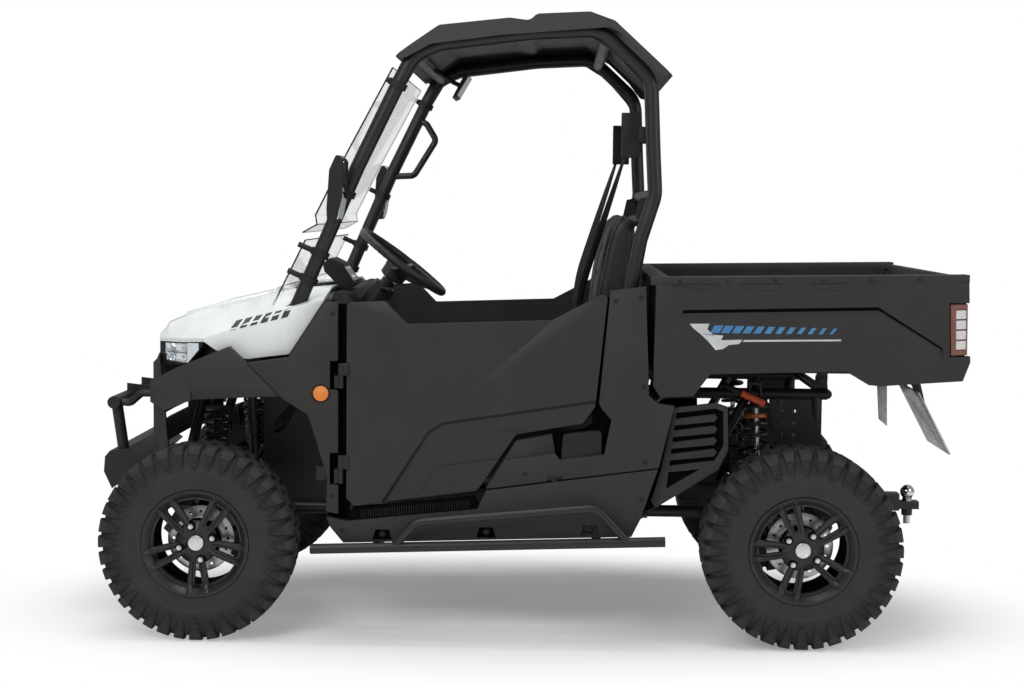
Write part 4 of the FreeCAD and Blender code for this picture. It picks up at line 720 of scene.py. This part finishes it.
# ---------------------------------------------------------------- lamps, mirrors and windshield
# Plan of the headlamp's outer and inner faces by X and Y, and its lower and upper edge by X and Z, in mm
LAMP_OUTER = ((1178, 472), (1150, 503), (1080, 586), (1012, 652))
LAMP_LOW = ((1008, 947), (1078, 874), (1166, 876), (1180, 937))
LAMP_HIGH = ((1008, 948), (1180, 937))
INWARD_X, INWARD_Y = 0.62, 0.75          # way in from the lamp's face
BOWL_RIM, BOWL_DEPTH, FLUTE = 4.5, 12.5, 0.7


def along_line(line, x):
    """Second value of a line of points at x; the points are in order of x, up or down."""
    spots = sorted(line)
    for (x0, v0), (x1, v1) in zip(spots, spots[1:]):
        if x <= x1 or (x1, v1) == spots[-1]:
            return v0 + (v1 - v0) * (min(max(x, x0), x1) - x0) / (x1 - x0)


def lamp_row(x, sign, inward, margin):
    """Lower and upper point of the lamp's face at x, set inward from it, with a margin at both edges."""
    y = along_line(LAMP_OUTER, x) - inward * INWARD_Y
    low, high = along_line(LAMP_LOW, x) + margin, along_line(LAMP_HIGH, x) - margin
    if low > high - 1.5:
        middle = (low + high) / 2
        low, high = middle - 0.75, middle + 0.75
    return [Vector((x - inward * INWARD_X, sign * y, z)) for z in (low, high)]


def lamp_shell(form, sign, x0, x1, outer, inner, margin, steps=10):
    """Closed shell between two depths behind the lamp's face."""
    rings = []
    for k in range(steps + 1):
        x = x0 + (x1 - x0) * k / steps
        rings.append(lamp_row(x, sign, outer, margin) + lamp_row(x, sign, inner, margin)[::-1])
    skin(form, rings)


def lamp_bowl(form, sign, x0, x1, lower, upper):
    """Open fluted bowl of a reflector between two X and two shares of the lamp's height."""
    steps, grid = 6, []
    for i in range(steps + 1):
        row, u = [], i / steps
        for j in range(steps + 1):
            v = j / steps
            depth = BOWL_RIM + BOWL_DEPTH * (1 - (2 * u - 1) ** 4) * (1 - (2 * v - 1) ** 4) + FLUTE * (j % 2)
            low, high = lamp_row(x0 + (x1 - x0) * u, sign, depth, 1.6)
            row.append(form.verts.new(low.lerp(high, lower + (upper - lower) * v) * MM))
        grid.append(row)
    for a, b in zip(grid, grid[1:]):
        for j in range(steps):
            quad = (a[j], b[j], b[j + 1], a[j + 1])
            form.faces.new(quad if sign > 0 else quad[::-1])


def headlamp(side, sign):
    form = bmesh.new()
    lamp_shell(form, sign, 1176.0, 1031.0, 0.6, 2.6, 1.0)
    settle("headlamp_lens_" + side, form, "lamp_lens", lamp_cover, replaced=("headlamps",))
    form = bmesh.new()
    lamp_shell(form, sign, 1175.5, 1014.0, 19.0, 25.0, 0.2)                   # back plate
    lamp_shell(form, sign, 1030.0, 1014.0, 0.8, 20.0, 0.4, 8)                 # closed rear wedge
    lamp_shell(form, sign, 1177.0, 1173.5, 0.4, 20.0, 0.2, 2)                 # front cheek
    settle("headlamp_housing_" + side, form, "lamp_lens", black_moulding)
    form = bmesh.new()
    lamp_shell(form, sign, 1078.0, 1032.0, 3.4, 18.5, 1.6, 6)                 # silvered side facet
    for x0, x1 in ((1174.0, 1129.5), (1128.5, 1080.0)):
        for lower, upper in ((0.04, 0.48), (0.52, 0.96)):
            lamp_bowl(form, sign, x0, x1, lower, upper)
    settle("headlamp_reflector_" + side, baked(form, "headlamp_reflector", False), "lamp_lens", reflector_chrome)
    form = bmesh.new()
    for x in (1152.0, 1104.0):                                                # bulbs in front of the bowls
        for share in (0.26, 0.74):
            ends = [lamp_row(x, sign, inward, 3.0) for inward in (13.0, 7.0)]
            bar(form, [low.lerp(high, share) for low, high in ends], [5.5, 4.2], 12)
    settle("headlamp_bulbs_" + side, form, "lamp_lens", pale_film)


def tail_lamp(side, sign):
    """Rosy bezel round four clear blocks, on the bed's rear corner."""
    form = bmesh.new()
    outer, inner = [[Vector((x, 0, z)) for x, z in outline] for outline in (
        [(-1349, 1100), (-1403, 1101), (-1405, 942), (-1354, 938)],
        [(-1366, 1084), (-1399, 1085), (-1401, 957), (-1369, 955)])]
    centre = sum(outer, Vector()) / 4
    rim = [p + (centre - p).normalized() * 2.2 for p in outer]
    face, sunk = 687.5, 681.5
    skin(form, [[p + LEFT * sign * y for p in ring] for ring, y in
                ((outer, 662.0), (outer, face - 2.0), (rim, face), (inner, face), (inner, sunk))])
    settle("tail_lamp_bezel_" + side, form, "tail_lens", tail_housing, body="cargo_bed", replaced=("tail_lamps",))
    form = bmesh.new()
    for k in range(4):
        top, base = k / 4 + 0.02, (k + 1) / 4 - 0.02
        corners = [inner[i].lerp(inner[3 - i], share) for i, share in ((0, top), (1, top), (1, base), (0, base))]
        middle = sum(corners, Vector()) / 4
        skin(form, [[p.lerp(middle, draw) + LEFT * sign * y for p in corners]
                    for draw, y in ((0.0, sunk - 2.0), (0.0, sunk + 3.5), (0.16, face - 1.2))])
    settle("tail_lamp_blocks_" + side, form, "tail_lens", frosted_lens, body="cargo_bed")


# Round amber marker: profiles of rim and ringed lens by radius and Y
MARKER_RIM = [(28.8, 690.0), (28.8, 701.0), (27.6, 703.0), (25.4, 703.2), (24.6, 701.5)]
MARKER_LENS = [(24.6, 701.0), (24.0, 702.2), (20.0, 703.0), (19.2, 702.5), (14.5, 703.4), (13.7, 702.9),
               (8.6, 703.6), (7.8, 703.2), (0.6, 703.7)]


def marker(side, sign):
    form = bmesh.new()
    for finish, rows in enumerate((MARKER_RIM, MARKER_LENS)):
        turned(form, Vector((629.0, 0.0, 796.0)), (FORWARD, UP, LEFT * sign), rows, 48, finish)
    settle("side_marker_" + side, form, "amber_lens", black_moulding, amber_lens, replaced=("side_markers",),
           sharp_deg=50.0)


for side, sign in SIDES:
    headlamp(side, sign)
    tail_lamp(side, sign)
    marker(side, sign)

# Mirror glass. Rear face of the door mirrors' shells by height, and how far inside its edge the glass ends
MIRROR_ROWS = [(1347, 568.4, 20), (1360, 563.4, 14), (1420, 552.8, 12), (1480, 550.4, 12), (1524, 548.9, 14),
               (1540, 556.6, 22)]
form = bmesh.new()
for side, sign in SIDES:
    skin(form, [[Vector((x + dx, sign * y, z)) for dx, y in
                 ((2.0, 650 + inset), (-0.8, 650 + inset), (-0.8, 800 - inset), (2.0, 800 - inset))]
                for z, x, inset in MIRROR_ROWS])
out = Vector((-0.87, 0.0, -0.49)) * 1.2                                       # cabin mirror
quad = [Vector(p) for p in ((238.5, -100, 1774.5), (238.5, 100, 1774.5), (199.5, 100, 1838.5),
                            (199.5, -100, 1838.5))]
skin(form, [[p - out for p in quad], [p + out for p in quad]])
settle("mirror_glass", form, "black_plastic", mirror_silver)

# The two windshield sheets, flat between their bends, and their dark polished edges
eased("windshield", 0.5, "clear_sheet", polycarbonate, segments=1, shade_deg=0.3)
form = bmesh.new()
for line in ([(419, 1831), (572, 1545), (665, 1359), (660, 1330), (706, 1304)], [(697, 1280), (770, 1132)]):
    for y in (-584.2, 584.2):
        bar(form, [Vector((x - 2.6, y, z - 1.6)) for x, z in line], 2.2, 8)
    for x, z in (line[0], line[-1]):
        bar(form, [Vector((x - 2.6, y, z - 1.6)) for y in (-584, 584)], 1.8, 8)
settle("windshield_edges", form, "clear_sheet", black_rubber_trim)


# ---------------------------------------------------------------- seats
SEAT_Y, SEAT_HALF_WIDTH = 290.0, 226.0
COVER_SHRINK = 0.97                      # the foam block is drawn this much smaller, then swells into its cover
COVER_GAIN = 12.0                        # and no point of it moves further than this
CLOTH_FRAMES, FOAM_VOXEL = 20, 8.5
# Share of the half width, and how much of its size the side profile keeps there
SEAT_ENDS = ((-1.0, 0.78), (-0.97, 0.88), (-0.9, 0.95), (-0.7, 0.985), (0.0, 1.0), (0.7, 0.985), (0.9, 0.95),
             (0.97, 0.88), (1.0, 0.78))
# Each cover's side profile, the way its seamed face looks and the way its long seams run (0 is X, 2 is Z), the
# places of its cross seams along that way, and the line of its edge piping
SEATS = {
    "back": dict(profile=[(-322, 1385), (-300, 1352), (-274, 1255), (-246, 1105), (-230, 870), (-312, 868),
                          (-348, 1130), (-362, 1330), (-352, 1382)],
                 facing=0, along=2, cross=(985.0, 1075.0, 1165.0, 1255.0),
                 edge=[(-308, 1372), (-286, 1344), (-258, 1250), (-232, 1103), (-218, 890)]),
    "cushion": dict(profile=[(-208, 722), (165, 722), (177, 788), (146, 826), (-96, 812), (-212, 806)],
                    facing=2, along=0, cross=(-110.0, -20.0, 70.0),
                    edge=[(-195, 850), (-150, 850), (-80, 850), (0, 850), (80, 850), (140, 850), (186, 800)]),
}
LONG_SEAM, CROSS_SEAM_REACH, LONG_SEAM_TOP = 140.0, 138.0, 1360.0
SEAM_WIDTH, SEAM_DEPTH = 13.0, 8.0
SEAM_BOW = 0.0004                        # rise of a cross seam by the square of the distance from the middle
FACING_LEAST = 0.25                      # the normal's share toward the seamed face's way
PIPING_RADIUS, PIPING_Y = 3.4, 215.0


def foam_block(profile):
    """Block of foam: the rounded side profile run across the seat, with its ends drawn in."""
    line = [Vector((x, 0.0, z)) for x, z in profile]
    for _ in range(2):
        line = [a.lerp(b, share) for a, b in zip(line, line[1:] + line[:1]) for share in (0.22, 0.78)]
    middle = sum(line, Vector()) / len(line)
    form = bmesh.new()
    skin(form, [[middle + (p - middle) * keep * COVER_SHRINK + LEFT * (SEAT_Y + share * SEAT_HALF_WIDTH)
                 for p in line] for share, keep in SEAT_ENDS])
    return form


def swollen(form, name):
    """Inflates a slightly small block of foam in its cover by cloth simulation; returns the mesh."""
    cover = evaluated(baked(form, name), name, "REMESH", mode="VOXEL", voxel_size=FOAM_VOXEL * MM)
    block = bpy.data.objects.new(name, cover)
    bpy.context.collection.objects.link(block)
    cloth = block.modifiers.new("cover", "CLOTH")
    cloth.settings.use_pressure = True
    cloth.settings.uniform_pressure_force = 4.0
    cloth.settings.effector_weights.gravity = 0.0
    cloth.settings.tension_stiffness = cloth.settings.compression_stiffness = 12.0
    cloth.settings.bending_stiffness = 0.6
    cloth.point_cache.frame_start, cloth.point_cache.frame_end = 1, CLOTH_FRAMES
    for frame_number in range(1, CLOTH_FRAMES + 1):
        bpy.context.scene.frame_set(frame_number)
    graph = bpy.context.evaluated_depsgraph_get()
    blown = [v.co.copy() for v in block.evaluated_get(graph).data.vertices]
    bpy.data.objects.remove(block)
    bpy.context.scene.frame_set(1)
    for vertex, after in zip(cover.vertices, blown):
        move = after - vertex.co
        if move.length > COVER_GAIN * MM:
            move = move.normalized() * COVER_GAIN * MM
        vertex.co += move
    return cover


def sewn(mesh, seat):
    """Pulls the cover in along its seams: two long ones, and curved short ones between them."""
    mesh.update()
    normals = [v.normal.copy() for v in mesh.vertices]
    for vertex, normal in zip(mesh.vertices, normals):
        if normal[seat["facing"]] <= FACING_LEAST:
            continue
        aside, reach = abs(vertex.co.y / MM - SEAT_Y), vertex.co[seat["along"]] / MM
        away = [abs(aside - LONG_SEAM)] if reach < LONG_SEAM_TOP else []
        if aside < CROSS_SEAM_REACH:
            away += [abs(reach - spot - SEAM_BOW * aside ** 2) for spot in seat["cross"]]
        share = min(away + [SEAM_WIDTH]) / SEAM_WIDTH
        vertex.co -= normal * (1 - share ** 2) ** 2 * SEAM_DEPTH * MM


def edge_piping(mesh, edge):
    """Cord sewn into the cover's two edges, laid on its surface."""
    tree = BVHTree.FromPolygons([v.co.copy() for v in mesh.vertices], [tuple(p.vertices) for p in mesh.polygons])
    form = bmesh.new()
    for offset in (-PIPING_Y, PIPING_Y):
        line = [Vector((x, SEAT_Y + offset, z)) for x, z in edge]
        dense = [a.lerp(b, k / 6) for a, b in zip(line, line[1:]) for k in range(6)] + line[-1:]
        near = [tree.find_nearest(spot * MM)[:2] for spot in dense]
        bar(form, [spot / MM + normal * PIPING_RADIUS * 0.35 for spot, normal in near], PIPING_RADIUS, 8)
    return baked(form, "seat_piping")


for kind, seat in SEATS.items():
    cover = swollen(foam_block(seat["profile"]), "seat_" + kind)
    sewn(cover, seat)
    cover = evaluated(cover, "seat_" + kind, "SUBSURF", levels=1, render_levels=1)
    cord = edge_piping(cover, seat["edge"])
    for side, sign in SIDES:
        soft, trim = cover.copy(), cord.copy()
        for part in (soft, trim):
            part.materials.clear()
            part.transform(Matrix.Translation(LEFT * (sign - 1.0) * SEAT_Y * MM))
        piece = settle("seat_%s_%s" % (kind, side), soft, "seat_vinyl", seat_vinyl,
                       replaced=("seat_%ss" % kind,), sharp_deg=180.0)
        settle("seat_%s_piping_%s" % (kind, side), trim, "seat_vinyl", piping_vinyl)

# ---------------------------------------------------------------- belts
REEL_FOOT_Z = 1553.5


def belt_part(corners):
    """The web below the reel is made anew as a strap that hangs with a twist."""
    return None if min(p.z for p in corners) < REEL_FOOT_Z else 0


eased("seat_belts", 5.0, "belt_web", black_moulding, pick=belt_part)

# Straps from the reels down the seats' fronts, each turned part way round as it hangs
WEB_LINE = [Vector(p) for p in ((-329.0, 470.0, 1557.0), (-178.0, 470.0, 1080.0), (-196.0, 470.0, 822.0))]
WEB_HALF_WIDTH, WEB_HALF_THICKNESS = 23.5, 1.3
WEB_OUTLINE = ((-1, -0.5), (-0.94, -1), (0.94, -1), (1, -0.5), (1, 0.5), (0.94, 1), (-0.94, 1), (-1, 0.5))
line = arc_path(WEB_LINE, 160.0, 14)
web = []
for a, b in zip(line, line[1:]):
    count = max(1, int((b - a).length / 18))
    web += [a.lerp(b, k / count) for k in range(count)]
web.append(line[-1])
form = bmesh.new()
for side, sign in SIDES:
    rings = []
    for k, point in enumerate(web):
        run = (web[min(k + 1, len(web) - 1)] - web[max(k - 1, 0)]).normalized()
        twist = math.radians(8 + 22 * math.sin(math.pi * k / (len(web) - 1)) ** 0.8)
        wide = LEFT * math.cos(twist) + run.cross(LEFT) * math.sin(twist)
        spots = [point + wide * a * WEB_HALF_WIDTH + run.cross(wide) * b * WEB_HALF_THICKNESS
                 for a, b in WEB_OUTLINE]
        rings.append([Vector((p.x, sign * p.y, p.z)) for p in spots])
    skin(form, rings)
settle("belt_webs", form, "belt_web", belt_webbing)

# Buckle stalks at the inner sides of the seats, with their release buttons
form = bmesh.new()
lean = Vector((14.0, 0.0, 62.0))
for side, sign in SIDES:
    root = Vector((-215.0, sign * 40.0, 790.0))
    bar(form, [root, root + lean], 6.5, 10)
    axes = (LEFT * 14.0, Vector((9.0, 0.0, -2.0)), lean)
    block(form, root, axes, octagon(0.7), ((1.0, 0.85), (1.08, 1.0), (1.9, 1.05), (2.0, 0.9)))
    block(form, root, axes, rectangle(0.6, 0.6), ((1.98, 1.0), (2.02, 1.0)), 1)
settle("belt_buckles", form, "belt_web", black_moulding, red_button)

# ---------------------------------------------------------------- steering wheel and controls
WHEEL_CENTRE = Vector((402.0, 330.0, 1203.0))
COLUMN_TILT = math.radians(53.0)
COLUMN = Vector((-math.cos(COLUMN_TILT), 0.0, math.sin(COLUMN_TILT)))
WHEEL_UP = COLUMN.cross(LEFT)
RIM_RADIUS, GRIP_RADIUS = 164.0, 14.2
# Spoke by station: distance out, half width, height on the column, half thickness
SPOKE = [(26, 26, -34, 9), (60, 22, -31, 8), (110, 15, -18, 7), (150, 13, -3, 6), (160, 13, 0, 6)]
SPOKE_OUTLINE = [(-1, -0.4), (-0.8, -1), (0.8, -1), (1, -0.4), (1, 0.4), (0.75, 1), (-0.75, 1), (-1, 0.4)]
BOSS = [(30, -72), (42, -66), (44, -40), (46, -30), (45, -22), (38, -16), (24, -13), (1, -12)]
BOSS_RING = [(15, -13.0), (15, -11.4), (12, -10.8), (0.8, -10.8)]


def around(turn):
    """Way out from the steering wheel's centre."""
    return LEFT * math.cos(turn) + WHEEL_UP * math.sin(turn)


def grip_size(turn, t):
    """Radius of the rim's section: it swells at the hands' places and has finger notches on its underside."""
    swell = 1.0 + 0.06 * math.exp(-((abs(math.sin(turn)) - 0.25) / 0.22) ** 2)
    notch = 0.05 * (0.5 + 0.5 * math.cos(turn * 48)) if math.sin(t) < -0.3 else 0.0
    return GRIP_RADIUS * swell / 1.06 * (1.0 - notch)


def steering_wheel():
    form = bmesh.new()
    rings = []
    for turn in (math.tau * k / 96 for k in range(96)):
        section = [(t, grip_size(turn, t)) for t in (math.tau * j / 14 for j in range(14))]
        rings.append([WHEEL_CENTRE + around(turn) * (RIM_RADIUS + size * math.cos(t)) + COLUMN * size * math.sin(t)
                      for t, size in section])
    skin(form, rings, looped=True)
    # Flat spokes with a bright inlay, and the padded boss
    for sideways, upwards in ((1.0, 0.15), (-1.0, 0.15), (0.0, 1.0)):
        aim = (LEFT * sideways + WHEEL_UP * upwards).normalized()
        beside = COLUMN.cross(aim)
        skin(form, [[WHEEL_CENTRE + aim * out + COLUMN * (height + b * thick) + beside * a * wide
                     for a, b in SPOKE_OUTLINE] for out, wide, height, thick in SPOKE])
        skin(form, [[WHEEL_CENTRE + aim * out + COLUMN * (height + thick + b) + beside * a * wide * 0.34
                     for a, b in ((-1, -1.5), (1, -1.5), (0.8, 1.3), (-0.8, 1.3))]
                    for out, wide, height, thick in SPOKE[1:4]], 1)
    turns = [math.tau * k / 32 for k in range(32)]
    skin(form, [[WHEEL_CENTRE + around(t) * radius * (1.12 if abs(math.sin(t)) < 0.5 else 1.0) + COLUMN * height
                 for t in turns] for radius, height in BOSS])
    turned(form, WHEEL_CENTRE, (LEFT, WHEEL_UP, COLUMN), BOSS_RING, 24, 1)
    settle("steering_wheel_rim", form, "black_plastic", wheel_grip, satin_silver, body="steering_wheel",
           replaced=("steering_wheel",), sharp_deg=35.0)


steering_wheel()

# Display in the pod, with the bars of the charge gauge and a row of tell-tales
pod_top, pod_low = Vector((597.0, 330.0, 1197.0)), Vector((553.0, 330.0, 1131.0))
down = (pod_low - pod_top).normalized()
axes = (LEFT, down, Vector((-0.832, 0.0, 0.555)))
middle = pod_top + down * 39.0
DISPLAY = [(-82, -31), (82, -31), (86, -27), (86, 27), (82, 31), (-82, 31), (-86, 27), (-86, -27)]
form = bmesh.new()
block(form, middle, axes, DISPLAY, ((-2.0, 1.0), (1.0, 1.0), (1.8, 0.94), (0.6, 0.9)))
block(form, middle, axes, DISPLAY, ((0.2, 0.9), (0.9, 0.9)), 1)
lit = [(44 - 12 * k, 13, 5.0) for k in range(8)] + [(50 - 25 * k, -19, 3.0) for k in range(5)]
for y, below, half_high in lit:
    block(form, middle + LEFT * y + down * below, axes, rectangle(4.0, half_high), ((1.0, 1.0), (1.4, 1.0)), 2)
settle("dash_display", form, "black_plastic", black_moulding, display_glass, display_glow)

# Switches, vents and knobs on the dash face that leans back under the pod
face_low, face_high = Vector((522.0, 0.0, 1014.0)), Vector((556.0, 0.0, 1098.0))
rise = (face_high - face_low).normalized()
away = Vector((-rise.z, 0.0, rise.x))
axes = (LEFT, rise, away)
form = bmesh.new()
for y, share in [(y, share) for y in (60, 20, -20, -60) for share in (0.32, 0.74)]:
    middle = face_low.lerp(face_high, share) + LEFT * y
    block(form, middle, axes, rectangle(14, 11), ((-1.0, 1.0), (2.0, 1.0)))
    # Rocker, tipped by 2.5 mm at its upper edge
    skin(form, [[middle + LEFT * a * k + rise * b * k + away * (height + 2.5 * (b > 0)) for a, b in rectangle(14, 11)]
                for height, k in ((1.5, 0.85), (4.0, 0.8))], 1)
for y in (-330, -200):
    for k in range(5):
        middle = face_low.lerp(face_high, 0.3 + 0.12 * k) + LEFT * y
        block(form, middle, axes, rectangle(48, 2), ((-1.0, 1.0), (4.0, 1.0)))
KNOB = [(17, -1.0), (17, 3.0), (14, 4.0), (13, 15.0), (11.5, 16.5), (1, 16.5)]
for y in (120, 470):
    turned(form, face_low.lerp(face_high, 0.5) + LEFT * y, axes, KNOB, 20, 1)
settle("dash_switches", form, "black_plastic", black_moulding, wheel_grip)

form = bmesh.new()
root = WHEEL_CENTRE - COLUMN * 112.0
tip = root + LEFT * 118 + WHEEL_UP * 26 + COLUMN * 20
bar(form, [root + LEFT * 36.0, root.lerp(tip, 0.6), tip.lerp(root, 0.12), tip], [7.0, 5.5, 8.5, 6.5], 12)
settle("column_stalk", form, "frame_paint", black_moulding)

# ---------------------------------------------------------------- dampers and springs
# Foot and head of each damper on the left, and its preload collar's distance below the head, in mm
DAMPERS = {
    "front": dict(foot=(1024, 470, 446), head=(1018, 352, 745), collar=52.0),
    "rear": dict(foot=(-796, 445, 308), head=(-774, 400, 782), collar=66.0),
}
SEAT_LEVEL = 60.0                        # lower spring seat's height over the foot
COILS, WIRE, COIL_RADIUS = 7.5, 6.3, 37.2
COIL_STEPS = 195
COIL_CROWDING = 0.035                    # how much closer the ground end coils lie


def damper(end, side, sign):
    low, high = [Vector((x, sign * y, z)) for x, y, z in (DAMPERS[end]["foot"], DAMPERS[end]["head"])]
    along = (high - low).normalized()
    beside = along.orthogonal().normalized()
    axes = (beside, along.cross(beside), along)
    length = (high - low).length
    middle, collar = length * 0.55, length - DAMPERS[end]["collar"] - 14
    form = bmesh.new()
    # Profiles by radius and distance from the foot: body with the lower seat, upper seat, rod and collar
    for finish, rows in (
            (0, [(12, 6), (16.5, 12), (17, 50), (30, 50), (42, 53), (42.5, 58), (40, 60), (19, 60), (19, middle),
                 (15, middle + 2), (9, middle + 4)]),
            (0, [(30, length - 48), (42, length - 46), (43, length - 41), (40, length - 37), (20, length - 33),
                 (15, length - 12), (12, length - 6)]),
            (1, [(8.6, middle), (8.6, length - 46)])):
        turned(form, low, axes, rows, 20, finish)
    if end == "rear":
        turned(form, low, axes, [(25, collar), (36, collar), (38, collar + 3), (38, collar + 11), (35, collar + 14),
                                 (25, collar + 14)], 24, 2)
    for centre in (low, high):                                                # eyes with their rubber bushes
        for radius, half, finish in ((17.0, 13.0, 0), (13.6, 14.0, 3)):
            turned(form, centre, (LEFT, UP, FORWARD),
                   [(10.8, -half), (radius - 1, -half), (radius, 1 - half), (radius, half - 1), (radius - 1, half),
                    (10.8, half)], 20, finish, looped=True)
    settle("damper_%s_%s" % (end, side), form, "spring_paint", e_coat, polished_steel, collar_orange,
           black_rubber_trim, replaced=("shock_absorbers",))
    run = (collar - 1 if end == "rear" else length - 50) - SEAT_LEVEL - 2 * WIRE
    path = []
    for share in (k / COIL_STEPS for k in range(COIL_STEPS + 1)):
        turn = math.tau * COILS * share
        height = SEAT_LEVEL + WIRE + run * (share - math.sin(math.tau * share) * COIL_CROWDING)
        path.append(low + along * height + (beside * math.cos(turn) + axes[1] * math.sin(turn)) * COIL_RADIUS)
    form = bmesh.new()
    bar(form, path, WIRE, 10)
    settle("coil_spring_%s_%s" % (end, side), form, "spring_paint", spring_enamel)


for end in DAMPERS:
    for side, sign in SIDES:
        damper(end, side, sign)


# ---------------------------------------------------------------- hitch, plate, lever, sill and frame bolts
def hitch_part(corners):
    """The ball is chromed, its shank and lower nut are zinc plated, drawbar and receiver painted."""
    x, z = [p.x for p in corners], [p.z for p in corners]
    if min(z) > 367.5 and max(x) < -1330:
        return 1
    return 2 if max(z) < 340.5 and max(x) < -1340 else 0


def plate_part(corners):
    """The bracket's arms are painted; the blank plate is white aluminium, the blade bare galvanised steel."""
    if all(89.5 < p.y < 450.5 and p.z < 801.5 and p.x < -1299.5 for p in corners):
        return 1
    return 2 if all(p.y > 419.5 and p.x > -1209.5 for p in corners) else 0


eased("hitch", 0.8, "hitch_steel", powder_coat, chrome_plate, zinc_plate, pick=hitch_part)
eased("licence_bracket", 1.0, "frame_paint", powder_coat, plate_white, galvanised, pick=plate_part)

# Orange ribbed sleeve over the free end of the bed's release lever
form = bmesh.new()
start, stop = Vector((-722.0, 460.0, 790.3)), Vector((-799.0, 460.0, 755.2))
bar(form, [start.lerp(stop, k / 24) for k in range(25)], [9.5] + [12.5, 11.6] * 11 + [12.5, 9.5], 16)
settle("lever_grip", form, "frame_paint", grip_orange)

# Anti-slip ribs on the sill's tread strip, one row a side; the strip falls to the front
form = bmesh.new()
for side, sign in SIDES:
    for x in (500.0 - 7.6 * k for k in range(46)):
        low = 393.0 + (528 - x) * 0.106
        skin(form, [[Vector((x + a * taper, sign * y, z)) for a, z in
                     ((-1.6, low), (1.6, low), (1.6, low + 28), (-1.6, low + 28))]
                    for y, taper in ((686.5, 1.0), (690.0, 0.6))])
settle("sill_tread_ribs", form, "grey_panel", black_moulding)

# Bolt heads on the step bars' brackets and the bumper's feet
fasteners("bracket_bolts", "frame_paint", zinc_plate,
          [(Vector((x, sign * y, z)), UP) for x, z in ((450, 316), (-250, 340)) for y in (600, 640)
           for side, sign in SIDES], 13.0, 6.0, 6, 1.4)
fasteners("bumper_bolts", "frame_paint", zinc_plate,
          [(Vector((1281.0, sign * y, z)), FORWARD) for side, sign in SIDES for y in (222, 258)
           for z in (410, 452)], 12.0, 6.0, 6, 1.4)

# ---------------------------------------------------------------- camera, floor and light
WHITE = (1.0, 1.0, 1.0, 1.0)


def set_camera():
    """Level side view of the vehicle's left, from 6.4 m."""
    camera_data = bpy.data.cameras.new("side_camera")
    camera_data.sensor_width = 36.0
    camera_data.lens = 63.92
    camera_data.clip_end = 60.0
    camera = bpy.data.objects.new("side_camera", camera_data)
    bpy.context.collection.objects.link(camera)
    turn, pitch, roll = [Matrix.Rotation(math.radians(degrees), 3, axis)
                         for degrees, axis in ((180 + 1.44, "Z"), (90 - 4.27, "X"), (0.59, "Z"))]
    camera.matrix_world = Matrix.Translation((-0.1187, 6.41202, 1.39474)) @ (turn @ pitch @ roll).to_4x4()
    bpy.context.scene.camera = camera


def area_light(name, place, aim, size, power):
    light = bpy.data.lights.new(name, "AREA")
    light.shape = "RECTANGLE"
    light.size, light.size_y = size
    light.energy = power
    lamp = bpy.data.objects.new(name, light)
    lamp.location = place
    lamp.rotation_euler = (Vector(aim) - Vector(place)).to_track_quat("-Z", "Y").to_euler()
    bpy.context.collection.objects.link(lamp)


def shown_ray(tree):
    """1 for rays that show the background itself, seen or through glass."""
    path = add(tree, "ShaderNodeLightPath").outputs
    return add(tree, "ShaderNodeMath", {0: path["Is Camera Ray"], 1: path["Is Transmission Ray"]},
               operation="MAXIMUM").outputs[0]


def set_world():
    world = bpy.data.worlds.new("studio")
    world.use_nodes = True
    tree = world.node_tree
    tree.nodes.clear()
    soft = add(tree, "ShaderNodeBackground", {"Color": linear("#f4f6f8"), "Strength": 0.36})
    plain = add(tree, "ShaderNodeBackground", {"Color": WHITE, "Strength": 1.0})
    both = add(tree, "ShaderNodeMixShader",
               {"Fac": shown_ray(tree), 1: soft.outputs["Background"], 2: plain.outputs["Background"]})
    add(tree, "ShaderNodeOutputWorld", {"Surface": both.outputs["Shader"]})
    bpy.context.scene.world = world


def set_floor():
    """Pale floor that takes the shadow; it turns white beyond an oval round the vehicle, where no shadow falls."""
    mesh = bpy.data.meshes.new("studio_floor")
    mesh.from_pydata([tuple(p) for p in circle(Vector(), FORWARD, LEFT, 14.0, 64)], [], [tuple(range(64))])
    floor = bpy.data.objects.new("studio_floor", mesh)
    bpy.context.collection.objects.link(floor)
    material, tree, coords = start_finish("pale_floor")
    paint = add(tree, "ShaderNodeBsdfDiffuse", {"Color": linear("#f8f8f8")})
    plain = add(tree, "ShaderNodeEmission", {"Color": WHITE, "Strength": 1.0})
    oval = add(tree, "ShaderNodeMapping",
               {"Vector": coords, "Location": (0.0, -0.2, 0.0), "Scale": (0.53, 0.95, 1.0)})
    reach = add(tree, "ShaderNodeVectorMath", {0: oval.outputs["Vector"]}, operation="LENGTH")
    fade = add(tree, "ShaderNodeMapRange",
               {"Value": reach.outputs["Value"], "From Min": 0.55, "From Max": 1.1, "To Min": 0.24, "To Max": 1.0},
               interpolation_type="SMOOTHSTEP")
    seen = add(tree, "ShaderNodeMath", {0: fade.outputs["Result"], 1: shown_ray(tree)}, operation="MULTIPLY")
    both = add(tree, "ShaderNodeMixShader",
               {"Fac": seen.outputs[0], 1: paint.outputs["BSDF"], 2: plain.outputs["Emission"]})
    add(tree, "ShaderNodeOutputMaterial", {"Surface": both.outputs["Shader"]})
    mesh.materials.append(material)


set_camera()
set_world()
set_floor()
area_light("key_softbox", (1.6, 4.2, 3.6), (0.0, 0.0, 0.8), (2.4, 1.8), 84.0)
area_light("top_softbox", (-0.2, 0.3, 4.6), (0.0, 0.0, 0.0), (3.4, 2.0), 138.0)
area_light("rear_softbox", (-3.6, 2.4, 2.2), (-0.4, 0.0, 0.9), (1.6, 2.0), 30.0)
bpy.context.scene.view_settings.view_transform = "Standard"
